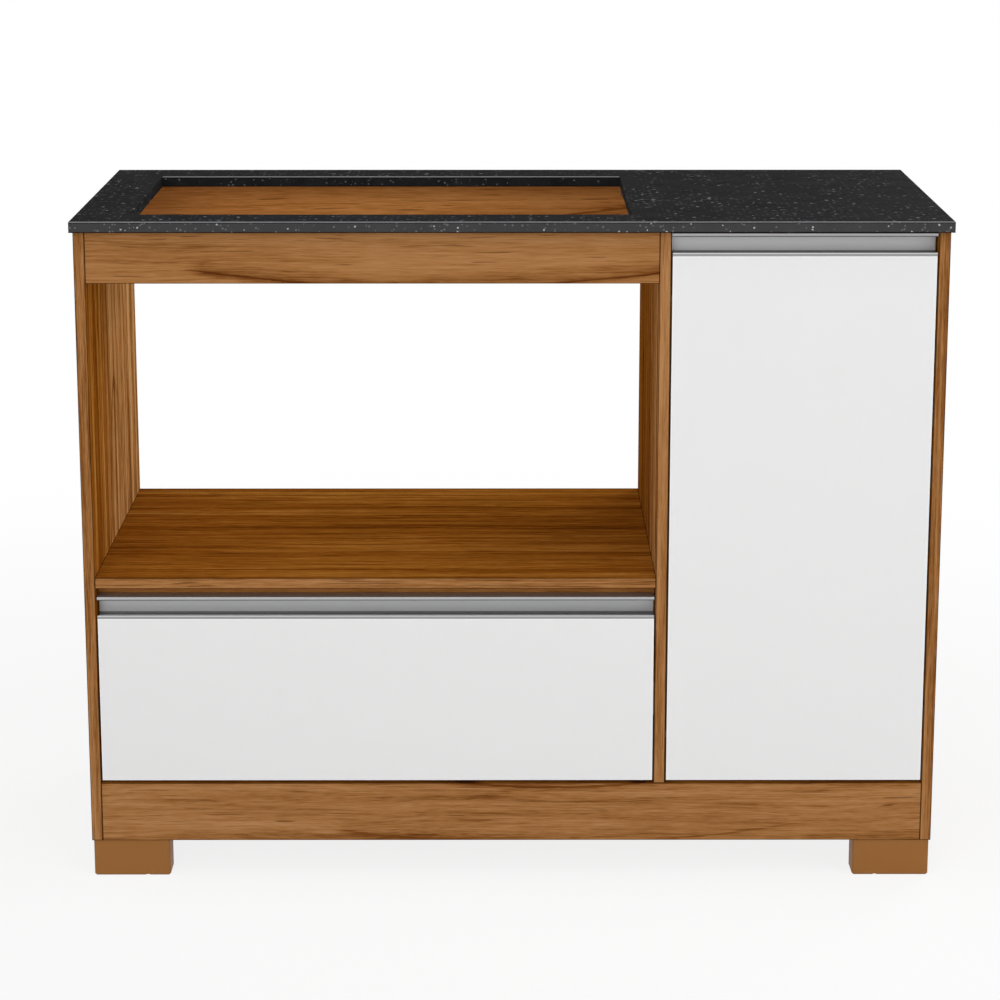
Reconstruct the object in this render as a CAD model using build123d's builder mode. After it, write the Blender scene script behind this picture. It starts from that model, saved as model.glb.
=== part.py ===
from build123d import *

# Cooktop base cabinet, in millimetres. X runs to the right, Y to the back and Z up.
# The origin is on the floor, under the middle of the whole cabinet.

# Boards and overall sizes
BOARD = 15
CARCASS_WIDTH = 1156
SIDE_HEIGHT = 848
NICHE_WIDTH = 758
DRAWER_BAY_HEIGHT = 277
EDGE_ROUND = 0.8

# Worktop and its cooktop cut-out
WORKTOP_THICKNESS = 15
WORKTOP_FRONT_OVERHANG = 15
WORKTOP_SIDE_OVERHANG = 3
WORKTOP_EDGE_ROUND = 1.5
CUTOUT_WIDTH = 668
CUTOUT_DEPTH = 377.5
CUTOUT_FROM_FRONT = 62.5
CUTOUT_FROM_LEFT = 73
CUTOUT_CORNER = 3

# Rails, stretchers and plinth
RAIL_HEIGHT = 70
RECESSED_RAIL_HEIGHT = 45
RECESSED_RAIL_SETBACK = 28
STRETCHER_DEPTH = 80
STRETCHER_SETBACK = 42
PLINTH_HEIGHT = 83

# Thin back panels in grooves
BACK_PANEL = 3
GROOVE_DEPTH = 5
GROOVE_SETBACK = 15
GROOVE_CLEARANCE = 0.15
PANEL_END_GAP = 0.5

# Feet
FOOT_WIDTH = 105
FOOT_DEPTH = 40
FOOT_HEIGHT = 52
FOOT_INSET = 2
FOOT_CHAMFER = 2.5
FOOT_UPRIGHT_ROUND = 3
FOOT_BORE_DIAMETER = 9
FOOT_BORE_DEPTH = 34
FOOT_SCREW_SHARE = 0.7

# Reveals round the drawer front and the door
SIDE_REVEAL = 2
BOTTOM_REVEAL = 4
DOOR_TOP_REVEAL = 3
DRAWER_TOP_REVEAL = 12

# Aluminium channel handle
HANDLE_HEIGHT = 30.5
HANDLE_DEPTH = 24
HANDLE_WALL = 1.6
HANDLE_LIP = 4.6
HANDLE_EDGE_ROUND = 0.4

# Cam fittings and dowels
CAM_DISTANCE = 24
CAM_DIAMETER = 14.8
CAM_HEIGHT = 12.2
CAM_POCKET = 7.6
CAM_FIT = 0.1
CAM_BORE_DEPTH = 12.5
CAM_CROSS_LENGTH = 8
CAM_CROSS_WIDTH = 1.8
CAM_CROSS_DEPTH = 1.5
BOLT_THREAD_DIAMETER = 5
BOLT_THREAD_LENGTH = 10
BOLT_SHANK_DIAMETER = 6
BOLT_NECK_DIAMETER = 3.6
BOLT_NECK_LENGTH = 2
BOLT_HEAD_DIAMETER = 6.8
BOLT_HEAD_LENGTH = 2.6
BOLT_BORE_DIAMETER = 8
DOWEL_DIAMETER = 8
DOWEL_IN_PANEL = 10
DOWEL_IN_BOARD = 20
DOWEL_END_GAP = 0.5
DOWEL_PITCH = 32
HOLE_FIT = 0.05
JOINT_FROM_EDGE = 70

# Screws, each a diameter, a length and a head diameter
SMALL_SCREW = (3.5, 12, 7)
HANDLE_SCREW = (3.5, 25, 7)
FRONT_SCREW = (4, 22, 8)
BOX_SCREW = (3.5, 35, 7)
FOOT_SCREW = (4, 42, 8)
CONNECTING_SCREW = (5, 50, 10)
CONNECTING_POCKET_DIAMETER = 12
CONNECTING_POCKET_DEPTH = 3
CROSS_DEPTH = 1
CROSS_WIDTH = 0.9
CROSS_SHARE = 0.6

# Worktop brackets
BRACKET_LEG = 20
BRACKET_GAUGE = 2
BRACKET_WIDTH = 18
BRACKET_FROM_FRONT = 150
BRACKET_FROM_BACK = 110
BRACKET_SCREW_OUT = 12

# Cupboard shelf on pins
PIN_DIAMETER = 5
PIN_IN_PANEL = 9.5
PIN_OUT = 8
PIN_ROW_PITCH = 32
PIN_ROW_COUNT = 5
PIN_ROW_START = 300
PIN_ROW_FRONT = 80
PIN_ROW_BACK = 80
PIN_IN_USE = 2
SHELF_SIDE_GAP = 1.2
SHELF_SETBACK = 45
SHELF_BACK_GAP = 2
PIN_SEAT_GAP = 0.1

# Drawer box and slides
DRAWER_BOARD = 12
DRAWER_SIDE_HEIGHT = 190
DRAWER_BACK_GAP = 11.7
DRAWER_LIFT = 25
DRAWER_BOTTOM = 3
DRAWER_BOTTOM_UP = 10
DRAWER_GROOVE_DEPTH = 5
BOX_SCREWS_FROM_EDGE = 40
FRONT_SCREWS_FROM_EDGE = 55
FRONT_SCREW_COLUMNS = 3
HANDLE_SCREWS_FROM_END = 40
DRAWER_HANDLE_SCREWS = 5
DOOR_HANDLE_SCREWS = 3
SLIDE_THICKNESS = 12.7
SLIDE_HEIGHT = 45
SLIDE_LENGTH = 450
SLIDE_TRAVEL = 400
SLIDE_FROM_FRONT = 3
SLIDE_FROM_BACK = 2
SLIDE_GAUGE = 1.2
SLIDE_ABOVE_SIDE = 90
SLIDE_LIP = 1.4
SLIDE_TIP_SHORT = 2.3
MIDDLE_WEB_GAP = 1.2
MIDDLE_TIP_SHORT = 1.7
INNER_DEPTH = 7.7
BALL_FIT = 0.06
OUTER_BALL = 4
INNER_BALL = 3.6
BALLS_PER_ROW = 8
CAGE_GAUGE = 0.7
CAGE_GAP = 0.25
CAGE_MARGIN = 12
CAGE_EDGE = 8
CAGE_FIT = 0.1
OUTER_CAGE_TIP = 8.7
INNER_CAGE_TIP = 10.6
SLIDE_SCREW_EDGE = 35

# Door stops
STOP_HEAD_DIAMETER = 9
STOP_HEAD = 9
STOP_GAP = 0.3
STOP_FROM_END = 60
STOP_ROUND = 1

# Single-pivot cup hinges, measured from the side panel's face and from the back of the door
HINGE_FROM_END = 90
PIVOT_FROM_SIDE = 26
PIVOT_IN_DOOR = 8
CUP_FROM_SIDE = 25.5
CUP_DIAMETER = 35
CUP_DEPTH = 12
CUP_WALL = 0.8
CUP_FIT = 0.05
CUP_FLANGE = 1.2
CUP_FLANGE_WIDTH = 18
CUP_FLANGE_LENGTH = 62
CUP_RIM = 1.5
CUP_SCREW_PITCH = 48
LUG_WIDTH = 6.4
LUG_LENGTH = 4
LUG_FROM_MIDDLE = 7
HINGE_PIN_DIAMETER = 3
HINGE_PIN_LENGTH = 21
HINGE_PIN_FIT = 0.05
EYE_DIAMETER = 6
ARM_HEIGHT = 12
ARM_GAUGE = 2.5
NECK_FROM_SIDE = 38.8
NECK_IN_CUP = 2
NECK_OUT = 15
BRIDGE_OUT = 21.5
ARM_LEG_START = 27
PLATE_THICKNESS = 3
PLATE_START = 28
PLATE_LENGTH = 48
PLATE_HEIGHT = 16
PLATE_WING_LENGTH = 18
PLATE_WING_HEIGHT = 52
PLATE_CORNER_ROUND = 2
PLATE_SCREW_PITCH = 32
ARM_SCREW_FROM_END = 9
NECK_BEND = 3

# Places worked out from the sizes: the depth of the cabinet follows from the length of the slides
GROOVE_WIDTH = BACK_PANEL + 2 * GROOVE_CLEARANCE
DRAWER_SIDE_LENGTH = SLIDE_FROM_FRONT + SLIDE_LENGTH + SLIDE_FROM_BACK
CARCASS_DEPTH = BOARD + DRAWER_SIDE_LENGTH + DRAWER_BACK_GAP + GROOVE_WIDTH + GROOVE_SETBACK
DEPTH = WORKTOP_FRONT_OVERHANG + CARCASS_DEPTH
FRONT = WORKTOP_FRONT_OVERHANG - DEPTH / 2
BACK = FRONT + CARCASS_DEPTH
LEFT = -CARCASS_WIDTH / 2
RIGHT = CARCASS_WIDTH / 2
INNER_LEFT = LEFT + BOARD
INNER_RIGHT = RIGHT - BOARD
DIVIDER_LEFT = INNER_LEFT + NICHE_WIDTH
DIVIDER_RIGHT = DIVIDER_LEFT + BOARD
SIDE_BOTTOM = FOOT_HEIGHT
SIDE_TOP = SIDE_BOTTOM + SIDE_HEIGHT
BASE_TOP = SIDE_BOTTOM + PLINTH_HEIGHT
BASE_BOTTOM = BASE_TOP - BOARD
SHELF_BOTTOM = BASE_TOP + DRAWER_BAY_HEIGHT
SHELF_TOP = SHELF_BOTTOM + BOARD
NICHE_BAY = (INNER_LEFT, DIVIDER_LEFT)
DOOR_BAY = (DIVIDER_RIGHT, INNER_RIGHT)
WHOLE_BAY = (INNER_LEFT, INNER_RIGHT)
BEHIND_FRONT = FRONT + BOARD
GROOVE_BACK = BACK - GROOVE_SETBACK
GROOVE_FRONT = GROOVE_BACK - GROOVE_WIDTH

ON = (Align.CENTER, Align.CENTER, Align.MIN)
IN = (Align.CENTER, Align.CENTER, Align.MAX)


def slab(x, y, z, mode=Mode.ADD):
    """A block between two places on each axis."""
    with Locations(((x[0] + x[1]) / 2, (y[0] + y[1]) / 2, (z[0] + z[1]) / 2)):
        Box(x[1] - x[0], y[1] - y[0], z[1] - z[0], mode=mode)


def save(piece, name):
    """Labels a finished piece and writes its file."""
    piece.part.label = name
    export_step(piece.part, f"parts/{name}.step")


def soften_front(piece, along):
    """Rounds a board's two front edges along one axis, while it is still a plain board."""
    fillet(piece.edges().filter_by(along).group_by(Axis.Y)[0], EDGE_ROUND)


def at_face(planes, x):
    """The planes that stand on one upright face."""
    return [plane for plane in planes if abs(plane.origin.X - x) < HOLE_FIT]


def ends(bay, places, cam_side):
    """Planes at both ends of a board across a bay: z runs into the board, x to the face with the cam."""
    return [
        Plane(origin=(x, y, z), x_dir=cam_side, z_dir=(into, 0, 0))
        for x, into in ((bay[0], 1), (bay[1], -1))
        for y, z in places
    ]


def cam_seat(end):
    """The plane on a board's face where the cam of one board end goes in, looking out of the board."""
    centre = end.origin + end.z_dir * CAM_DISTANCE + end.x_dir * (BOARD / 2)
    return Plane(origin=centre, x_dir=end.z_dir, z_dir=end.x_dir)


def bore_cams(board_ends):
    """Cuts the cam bores and the bolt bores of a board's ends."""
    with Locations(*[cam_seat(end) for end in board_ends]):
        Cylinder(CAM_DIAMETER / 2 + CAM_FIT, CAM_BORE_DEPTH, align=IN, mode=Mode.SUBTRACT)
    with Locations(*board_ends):
        Cylinder(BOLT_BORE_DIAMETER / 2, CAM_DISTANCE, align=ON, mode=Mode.SUBTRACT)


def bore_bolts(board_ends):
    """Cuts the threaded holes of the cam bolts in the panel behind the board ends."""
    with Locations(*board_ends):
        Cylinder(BOLT_THREAD_DIAMETER / 2 + HOLE_FIT, BOLT_THREAD_LENGTH, align=IN, mode=Mode.SUBTRACT)


def bore_dowels(board_ends):
    """Cuts the dowel holes in whichever of the two pieces is being made."""
    length = DOWEL_IN_PANEL + DOWEL_IN_BOARD + 2 * DOWEL_END_GAP
    with Locations(*[end.offset(-DOWEL_IN_PANEL - DOWEL_END_GAP) for end in board_ends]):
        Cylinder(DOWEL_DIAMETER / 2 + HOLE_FIT, length, align=ON, mode=Mode.SUBTRACT)


def screws(planes, size):
    """Countersunk cross-head screws, flush with their planes and driven against z."""
    diameter, length, head = size
    head_height = (head - diameter) / 2
    with BuildPart() as group:
        with Locations(*planes):
            Cylinder(diameter / 2, length, align=IN)
            Cone(diameter / 2, head / 2, head_height, align=IN)
            Box(head * CROSS_SHARE, CROSS_WIDTH, 2 * CROSS_DEPTH, mode=Mode.SUBTRACT)
            Box(CROSS_WIDTH, head * CROSS_SHARE, 2 * CROSS_DEPTH, mode=Mode.SUBTRACT)
    return group


def bore_pins(planes):
    """Cuts the holes of shelf pins and door stops."""
    with Locations(*planes):
        Cylinder(PIN_DIAMETER / 2 + HOLE_FIT, PIN_IN_PANEL + HOLE_FIT, align=IN, mode=Mode.SUBTRACT)


def bore_screws(planes, size):
    """Cuts the holes and countersinks of the same screws."""
    diameter, length, head = size
    head_height = (head - diameter) / 2
    with Locations(*planes):
        Cylinder(diameter / 2 + HOLE_FIT, length + HOLE_FIT, align=IN, mode=Mode.SUBTRACT)
        Cone(
            diameter / 2 + HOLE_FIT,
            head / 2 + HOLE_FIT,
            head_height,
            align=IN,
            mode=Mode.SUBTRACT,
        )


# Where the boards meet
deep_places = (FRONT + JOINT_FROM_EDGE, BACK - JOINT_FROM_EDGE)
deep_dowel_places = (deep_places[0] + DOWEL_PITCH, deep_places[1] - DOWEL_PITCH)
base_middle = BASE_TOP - BOARD / 2
shelf_middle = SHELF_BOTTOM + BOARD / 2
rail_middle = SIDE_TOP - RAIL_HEIGHT / 2
stretcher_middle = SIDE_TOP - BOARD / 2
front_middle = FRONT + BOARD / 2
back_middle = BACK - BOARD / 2
front_plinth_middle = SIDE_BOTTOM + PLINTH_HEIGHT / 2
rear_plinth_middle = (SIDE_BOTTOM + BASE_BOTTOM) / 2
stretcher_front = FRONT + STRETCHER_SETBACK
stretcher_back = GROOVE_FRONT
front_stretcher_middle = stretcher_front + STRETCHER_DEPTH / 2
rear_stretcher_middle = stretcher_back - STRETCHER_DEPTH / 2
half_pitch = DOWEL_PITCH / 2
underside = (0, 0, -1)
to_back = (0, 1, 0)
to_front = (0, -1, 0)

base_cams = ends(WHOLE_BAY, [(y, base_middle) for y in deep_places], underside)
base_dowels = ends(WHOLE_BAY, [(y, base_middle) for y in deep_dowel_places], underside)
shelf_cams = ends(NICHE_BAY, [(y, shelf_middle) for y in deep_places], underside)
shelf_dowels = ends(NICHE_BAY, [(y, shelf_middle) for y in deep_dowel_places], underside)
front_rail_cams = ends(NICHE_BAY, [(front_middle, rail_middle + half_pitch)], to_back)
front_rail_dowels = ends(NICHE_BAY, [(front_middle, rail_middle - half_pitch)], to_back)
rear_rail_cams = ends(NICHE_BAY, [(back_middle, rail_middle + half_pitch)], to_front)
rear_rail_dowels = ends(NICHE_BAY, [(back_middle, rail_middle - half_pitch)], to_front)
front_stretcher_cams = ends(
    DOOR_BAY, [(front_stretcher_middle - half_pitch, stretcher_middle)], underside
)
front_stretcher_dowels = ends(
    DOOR_BAY, [(front_stretcher_middle + half_pitch, stretcher_middle)], underside
)
rear_stretcher_cams = ends(
    DOOR_BAY, [(rear_stretcher_middle - half_pitch, stretcher_middle)], underside
)
rear_stretcher_dowels = ends(
    DOOR_BAY, [(rear_stretcher_middle + half_pitch, stretcher_middle)], underside
)
front_plinth_cams = ends(WHOLE_BAY, [(front_middle, front_plinth_middle - half_pitch)], to_back)
front_plinth_dowels = ends(WHOLE_BAY, [(front_middle, front_plinth_middle + half_pitch)], to_back)
rear_plinth_cams = ends(WHOLE_BAY, [(back_middle, rear_plinth_middle - half_pitch)], to_front)
rear_plinth_dowels = ends(WHOLE_BAY, [(back_middle, rear_plinth_middle + half_pitch)], to_front)

recessed_rail_front = FRONT + RECESSED_RAIL_SETBACK
recessed_rail_middle = recessed_rail_front + BOARD / 2
recessed_rail_bottom = SHELF_BOTTOM - RECESSED_RAIL_HEIGHT
recessed_end_dowels = ends(
    NICHE_BAY, [(recessed_rail_middle, SHELF_BOTTOM - RECESSED_RAIL_HEIGHT / 2)], to_back
)
niche_middle = (INNER_LEFT + DIVIDER_LEFT) / 2
niche_third = NICHE_WIDTH / 3
recessed_top_dowels = [
    Plane(origin=(x, recessed_rail_middle, SHELF_BOTTOM), x_dir=(1, 0, 0), z_dir=underside)
    for x in (niche_middle - niche_third, niche_middle, niche_middle + niche_third)
]

cross_rail_middle = DIVIDER_LEFT + BOARD / 2
cross_rail_dowels = [
    Plane(origin=(cross_rail_middle, y, z), x_dir=(1, 0, 0), z_dir=(0, into, 0))
    for y, into in ((BEHIND_FRONT, 1), (BACK - BOARD, -1))
    for z in (rear_plinth_middle - half_pitch, rear_plinth_middle + half_pitch)
]

cam_ends = (
    base_cams
    + shelf_cams
    + front_rail_cams
    + rear_rail_cams
    + front_stretcher_cams
    + rear_stretcher_cams
    + front_plinth_cams
    + rear_plinth_cams
)
dowel_ends = (
    base_dowels
    + shelf_dowels
    + front_rail_dowels
    + rear_rail_dowels
    + front_stretcher_dowels
    + rear_stretcher_dowels
    + front_plinth_dowels
    + rear_plinth_dowels
    + recessed_end_dowels
)

# Long screws that come up through the base panel into the divider
connecting_planes = [
    Plane(origin=(cross_rail_middle, y, BASE_BOTTOM), x_dir=(1, 0, 0), z_dir=underside)
    for y in deep_places
]

# Worktop brackets, in the top corners of the upright boards
bracket_places = (FRONT + BRACKET_FROM_FRONT, BACK - BRACKET_FROM_BACK)
bracket_corners = [
    Plane(origin=(x, y, SIDE_TOP), x_dir=(into, 0, 0), z_dir=(0, -into, 0))
    for x, into in ((INNER_LEFT, 1), (DIVIDER_LEFT, -1), (INNER_RIGHT, -1))
    for y in bracket_places
]
bracket_panel_screws = [
    Plane(
        origin=corner.origin + corner.x_dir * BRACKET_GAUGE - Vector(0, 0, BRACKET_SCREW_OUT),
        x_dir=(0, 1, 0),
        z_dir=corner.x_dir,
    )
    for corner in bracket_corners
]
bracket_top_screws = [
    Plane(
        origin=corner.origin + corner.x_dir * BRACKET_SCREW_OUT - Vector(0, 0, BRACKET_GAUGE),
        x_dir=(0, 1, 0),
        z_dir=underside,
    )
    for corner in bracket_corners
]

# Shelf pins and their rows of holes
pin_rows = (FRONT + PIN_ROW_FRONT, BACK - PIN_ROW_BACK)
pin_heights = [BASE_TOP + PIN_ROW_START + n * PIN_ROW_PITCH for n in range(PIN_ROW_COUNT)]


def pin_planes(heights):
    """Planes on both walls of the door bay, looking into the bay, for one row of holes or pins."""
    return [
        Plane(origin=(x, y, z), x_dir=(0, 1, 0), z_dir=(into, 0, 0))
        for x, into in ((DIVIDER_RIGHT, 1), (INNER_RIGHT, -1))
        for y in pin_rows
        for z in heights
    ]


pin_holes = pin_planes(pin_heights)
pins_in_use = pin_planes([pin_heights[PIN_IN_USE]])

# Door stops on the divider, behind the free edge of the door
door_bottom = BASE_TOP + BOTTOM_REVEAL
door_top = SIDE_TOP - DOOR_TOP_REVEAL
stop_middle = BEHIND_FRONT + STOP_GAP + STOP_HEAD_DIAMETER / 2
stop_planes = [
    Plane(origin=(DIVIDER_RIGHT, stop_middle, z), x_dir=(0, 1, 0), z_dir=(1, 0, 0))
    for z in (door_bottom + STOP_FROM_END, door_top - HANDLE_HEIGHT - STOP_FROM_END)
]

# Hinges: pivots in the door, plates and arms on the side panel
door_panel_top = door_top - HANDLE_HEIGHT
pivot_x = INNER_RIGHT - PIVOT_FROM_SIDE
pivot_y = BEHIND_FRONT - PIVOT_IN_DOOR
cup_x = INNER_RIGHT - CUP_FROM_SIDE
hinge_heights = (door_bottom + HINGE_FROM_END, door_panel_top - HINGE_FROM_END)
plate_x = INNER_RIGHT - PLATE_THICKNESS
plate_start = BEHIND_FRONT + PLATE_START
plate_end = plate_start + PLATE_LENGTH
plate_middle = (plate_start + plate_end) / 2
arm_leg_x = plate_x - ARM_GAUGE / 2
plate_screw_planes = [
    Plane(origin=(plate_x, plate_middle, z + offset), x_dir=(0, 1, 0), z_dir=(-1, 0, 0))
    for z in hinge_heights
    for offset in (-PLATE_SCREW_PITCH / 2, PLATE_SCREW_PITCH / 2)
]
arm_screw_planes = [
    Plane(origin=(plate_x - ARM_GAUGE, y, z), x_dir=(0, 1, 0), z_dir=(-1, 0, 0))
    for z in hinge_heights
    for y in (plate_start + ARM_SCREW_FROM_END, plate_end - ARM_SCREW_FROM_END)
]

# Slides: places along the cabinet and across each slide
drawer_bottom_edge = BASE_TOP + DRAWER_LIFT
slide_middle_height = drawer_bottom_edge + SLIDE_ABOVE_SIDE
slide_start = BEHIND_FRONT + SLIDE_FROM_FRONT
slide_end = slide_start + SLIDE_LENGTH
slide_walls = ((INNER_LEFT, 1), (DIVIDER_LEFT, -1))
slide_screw_places = (
    slide_start + SLIDE_SCREW_EDGE,
    (slide_start + slide_end) / 2,
    slide_end - SLIDE_SCREW_EDGE,
)
slide_wall_screws = [
    Plane(
        origin=(wall + into * SLIDE_GAUGE, y, slide_middle_height),
        x_dir=(0, 1, 0),
        z_dir=(into, 0, 0),
    )
    for wall, into in slide_walls
    for y in slide_screw_places
]
slide_drawer_screws = [
    Plane(
        origin=(wall + into * (SLIDE_THICKNESS - SLIDE_GAUGE), y, slide_middle_height),
        x_dir=(0, 1, 0),
        z_dir=(-into, 0, 0),
    )
    for wall, into in slide_walls
    for y in slide_screw_places
]


# Feet, each with two screws up through it: one into the side panel, one into the plinth rail
foot_corners = {
    "foot_front_left": (LEFT, FRONT, 1, 1),
    "foot_front_right": (RIGHT, FRONT, -1, 1),
    "foot_rear_left": (LEFT, BACK, 1, -1),
    "foot_rear_right": (RIGHT, BACK, -1, -1),
}
foot_screw_depth = FOOT_INSET + FOOT_DEPTH * FOOT_SCREW_SHARE
foot_screw_width = FOOT_INSET + FOOT_WIDTH * FOOT_SCREW_SHARE
foot_screw_planes = [
    Plane(origin=(x, y, FOOT_BORE_DEPTH), x_dir=(1, 0, 0), z_dir=underside)
    for corner_x, corner_y, inward_x, inward_y in foot_corners.values()
    for x, y in (
        (corner_x + inward_x * BOARD / 2, corner_y + inward_y * foot_screw_depth),
        (corner_x + inward_x * foot_screw_width, corner_y + inward_y * BOARD / 2),
    )
]

# Side panels and divider
with BuildPart() as side_panel_left:
    slab((LEFT, INNER_LEFT), (FRONT, BACK), (SIDE_BOTTOM, SIDE_TOP))
    soften_front(side_panel_left, Axis.Z)
    slab(
        (INNER_LEFT - GROOVE_DEPTH, INNER_LEFT),
        (GROOVE_FRONT, GROOVE_BACK),
        (BASE_TOP - GROOVE_DEPTH, SHELF_BOTTOM + GROOVE_DEPTH),
        mode=Mode.SUBTRACT,
    )
    bore_bolts(at_face(cam_ends, INNER_LEFT))
    bore_dowels(at_face(dowel_ends, INNER_LEFT))
    bore_screws(at_face(slide_wall_screws, INNER_LEFT + SLIDE_GAUGE), SMALL_SCREW)
    bore_screws(at_face(bracket_panel_screws, INNER_LEFT + BRACKET_GAUGE), SMALL_SCREW)
    bore_screws(foot_screw_planes, FOOT_SCREW)
save(side_panel_left, "side_panel_left")

with BuildPart() as side_panel_right:
    slab((INNER_RIGHT, RIGHT), (FRONT, BACK), (SIDE_BOTTOM, SIDE_TOP))
    soften_front(side_panel_right, Axis.Z)
    slab(
        (INNER_RIGHT, INNER_RIGHT + GROOVE_DEPTH),
        (GROOVE_FRONT, GROOVE_BACK),
        (BASE_TOP - GROOVE_DEPTH, SIDE_TOP),
        mode=Mode.SUBTRACT,
    )
    bore_bolts(at_face(cam_ends, INNER_RIGHT))
    bore_dowels(at_face(dowel_ends, INNER_RIGHT))
    bore_screws(at_face(bracket_panel_screws, INNER_RIGHT - BRACKET_GAUGE), SMALL_SCREW)
    bore_screws(foot_screw_planes, FOOT_SCREW)
    bore_pins(at_face(pin_holes, INNER_RIGHT))
    bore_screws(plate_screw_planes + arm_screw_planes, SMALL_SCREW)
save(side_panel_right, "side_panel_right")

with BuildPart() as divider_panel:
    slab((DIVIDER_LEFT, DIVIDER_RIGHT), (FRONT, BACK), (BASE_TOP, SIDE_TOP))
    soften_front(divider_panel, Axis.Z)
    slab(
        (DIVIDER_LEFT, DIVIDER_LEFT + GROOVE_DEPTH),
        (GROOVE_FRONT, GROOVE_BACK),
        (BASE_TOP, SHELF_BOTTOM + GROOVE_DEPTH),
        mode=Mode.SUBTRACT,
    )
    slab(
        (DIVIDER_RIGHT - GROOVE_DEPTH, DIVIDER_RIGHT),
        (GROOVE_FRONT, GROOVE_BACK),
        (BASE_TOP, SIDE_TOP),
        mode=Mode.SUBTRACT,
    )
    bore_bolts(at_face(cam_ends, DIVIDER_LEFT) + at_face(cam_ends, DIVIDER_RIGHT))
    bore_dowels(at_face(dowel_ends, DIVIDER_LEFT) + at_face(dowel_ends, DIVIDER_RIGHT))
    bore_screws(at_face(slide_wall_screws, DIVIDER_LEFT - SLIDE_GAUGE), SMALL_SCREW)
    bore_screws(at_face(bracket_panel_screws, DIVIDER_LEFT - BRACKET_GAUGE), SMALL_SCREW)
    bore_screws(connecting_planes, CONNECTING_SCREW)
    bore_pins(at_face(pin_holes, DIVIDER_RIGHT))
    bore_pins(stop_planes)
save(divider_panel, "divider_panel")

# Base panel, niche shelf and the rails
with BuildPart() as base_panel:
    slab(WHOLE_BAY, (BEHIND_FRONT, BACK), (BASE_BOTTOM, BASE_TOP))
    slab(
        WHOLE_BAY,
        (GROOVE_FRONT, GROOVE_BACK),
        (BASE_TOP - GROOVE_DEPTH, BASE_TOP),
        mode=Mode.SUBTRACT,
    )
    bore_cams(base_cams)
    bore_dowels(base_dowels)
    bore_screws(connecting_planes, CONNECTING_SCREW)
save(base_panel, "base_panel")

with BuildPart() as niche_shelf:
    slab(NICHE_BAY, (FRONT, BACK), (SHELF_BOTTOM, SHELF_TOP))
    soften_front(niche_shelf, Axis.X)
    slab(
        NICHE_BAY,
        (GROOVE_FRONT, GROOVE_BACK),
        (SHELF_BOTTOM, SHELF_BOTTOM + GROOVE_DEPTH),
        mode=Mode.SUBTRACT,
    )
    bore_cams(shelf_cams)
    bore_dowels(shelf_dowels)
    bore_dowels(recessed_top_dowels)
save(niche_shelf, "niche_shelf")

with BuildPart() as recessed_rail:
    slab(
        NICHE_BAY,
        (recessed_rail_front, recessed_rail_front + BOARD),
        (recessed_rail_bottom, SHELF_BOTTOM),
    )
    bore_dowels(recessed_top_dowels + recessed_end_dowels)
save(recessed_rail, "recessed_rail")

with BuildPart() as front_top_rail:
    slab(NICHE_BAY, (FRONT, BEHIND_FRONT), (SIDE_TOP - RAIL_HEIGHT, SIDE_TOP))
    soften_front(front_top_rail, Axis.X)
    bore_cams(front_rail_cams)
    bore_dowels(front_rail_dowels)
save(front_top_rail, "front_top_rail")

with BuildPart() as rear_top_rail:
    slab(NICHE_BAY, (BACK - BOARD, BACK), (SIDE_TOP - RAIL_HEIGHT, SIDE_TOP))
    bore_cams(rear_rail_cams)
    bore_dowels(rear_rail_dowels)
save(rear_top_rail, "rear_top_rail")

with BuildPart() as front_stretcher:
    slab(DOOR_BAY, (stretcher_front, stretcher_front + STRETCHER_DEPTH), (SIDE_TOP - BOARD, SIDE_TOP))
    bore_cams(front_stretcher_cams)
    bore_dowels(front_stretcher_dowels)
save(front_stretcher, "front_stretcher")

with BuildPart() as rear_stretcher:
    slab(DOOR_BAY, (stretcher_back - STRETCHER_DEPTH, stretcher_back), (SIDE_TOP - BOARD, SIDE_TOP))
    bore_cams(rear_stretcher_cams)
    bore_dowels(rear_stretcher_dowels)
save(rear_stretcher, "rear_stretcher")

with BuildPart() as plinth_front:
    slab(WHOLE_BAY, (FRONT, BEHIND_FRONT), (SIDE_BOTTOM, BASE_TOP))
    soften_front(plinth_front, Axis.X)
    bore_cams(front_plinth_cams)
    bore_dowels(front_plinth_dowels + cross_rail_dowels)
    bore_screws(foot_screw_planes, FOOT_SCREW)
save(plinth_front, "plinth_front")

with BuildPart() as plinth_rear:
    slab(WHOLE_BAY, (BACK - BOARD, BACK), (SIDE_BOTTOM, BASE_BOTTOM))
    bore_cams(rear_plinth_cams)
    bore_dowels(rear_plinth_dowels + cross_rail_dowels)
    bore_screws(foot_screw_planes, FOOT_SCREW)
save(plinth_rear, "plinth_rear")

with BuildPart() as plinth_cross_rail:
    slab((DIVIDER_LEFT, DIVIDER_RIGHT), (BEHIND_FRONT, BACK - BOARD), (SIDE_BOTTOM, BASE_BOTTOM))
    bore_dowels(cross_rail_dowels)
    with Locations(*connecting_planes):
        Cylinder(CONNECTING_POCKET_DIAMETER / 2, CONNECTING_POCKET_DEPTH, align=ON, mode=Mode.SUBTRACT)
save(plinth_cross_rail, "plinth_cross_rail")

# Thin back panels, held in the grooves on all sides
held = GROOVE_DEPTH - PANEL_END_GAP
back_panel_depth = (GROOVE_FRONT + GROOVE_CLEARANCE, GROOVE_BACK - GROOVE_CLEARANCE)
with BuildPart() as back_panel_drawer_bay:
    slab(
        (INNER_LEFT - held, DIVIDER_LEFT + held),
        back_panel_depth,
        (BASE_TOP - held, SHELF_BOTTOM + held),
    )
save(back_panel_drawer_bay, "back_panel_drawer_bay")

with BuildPart() as back_panel_door_bay:
    slab(
        (DIVIDER_RIGHT - held, INNER_RIGHT + held),
        back_panel_depth,
        (BASE_TOP - held, SIDE_TOP - PANEL_END_GAP),
    )
save(back_panel_door_bay, "back_panel_door_bay")

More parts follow.
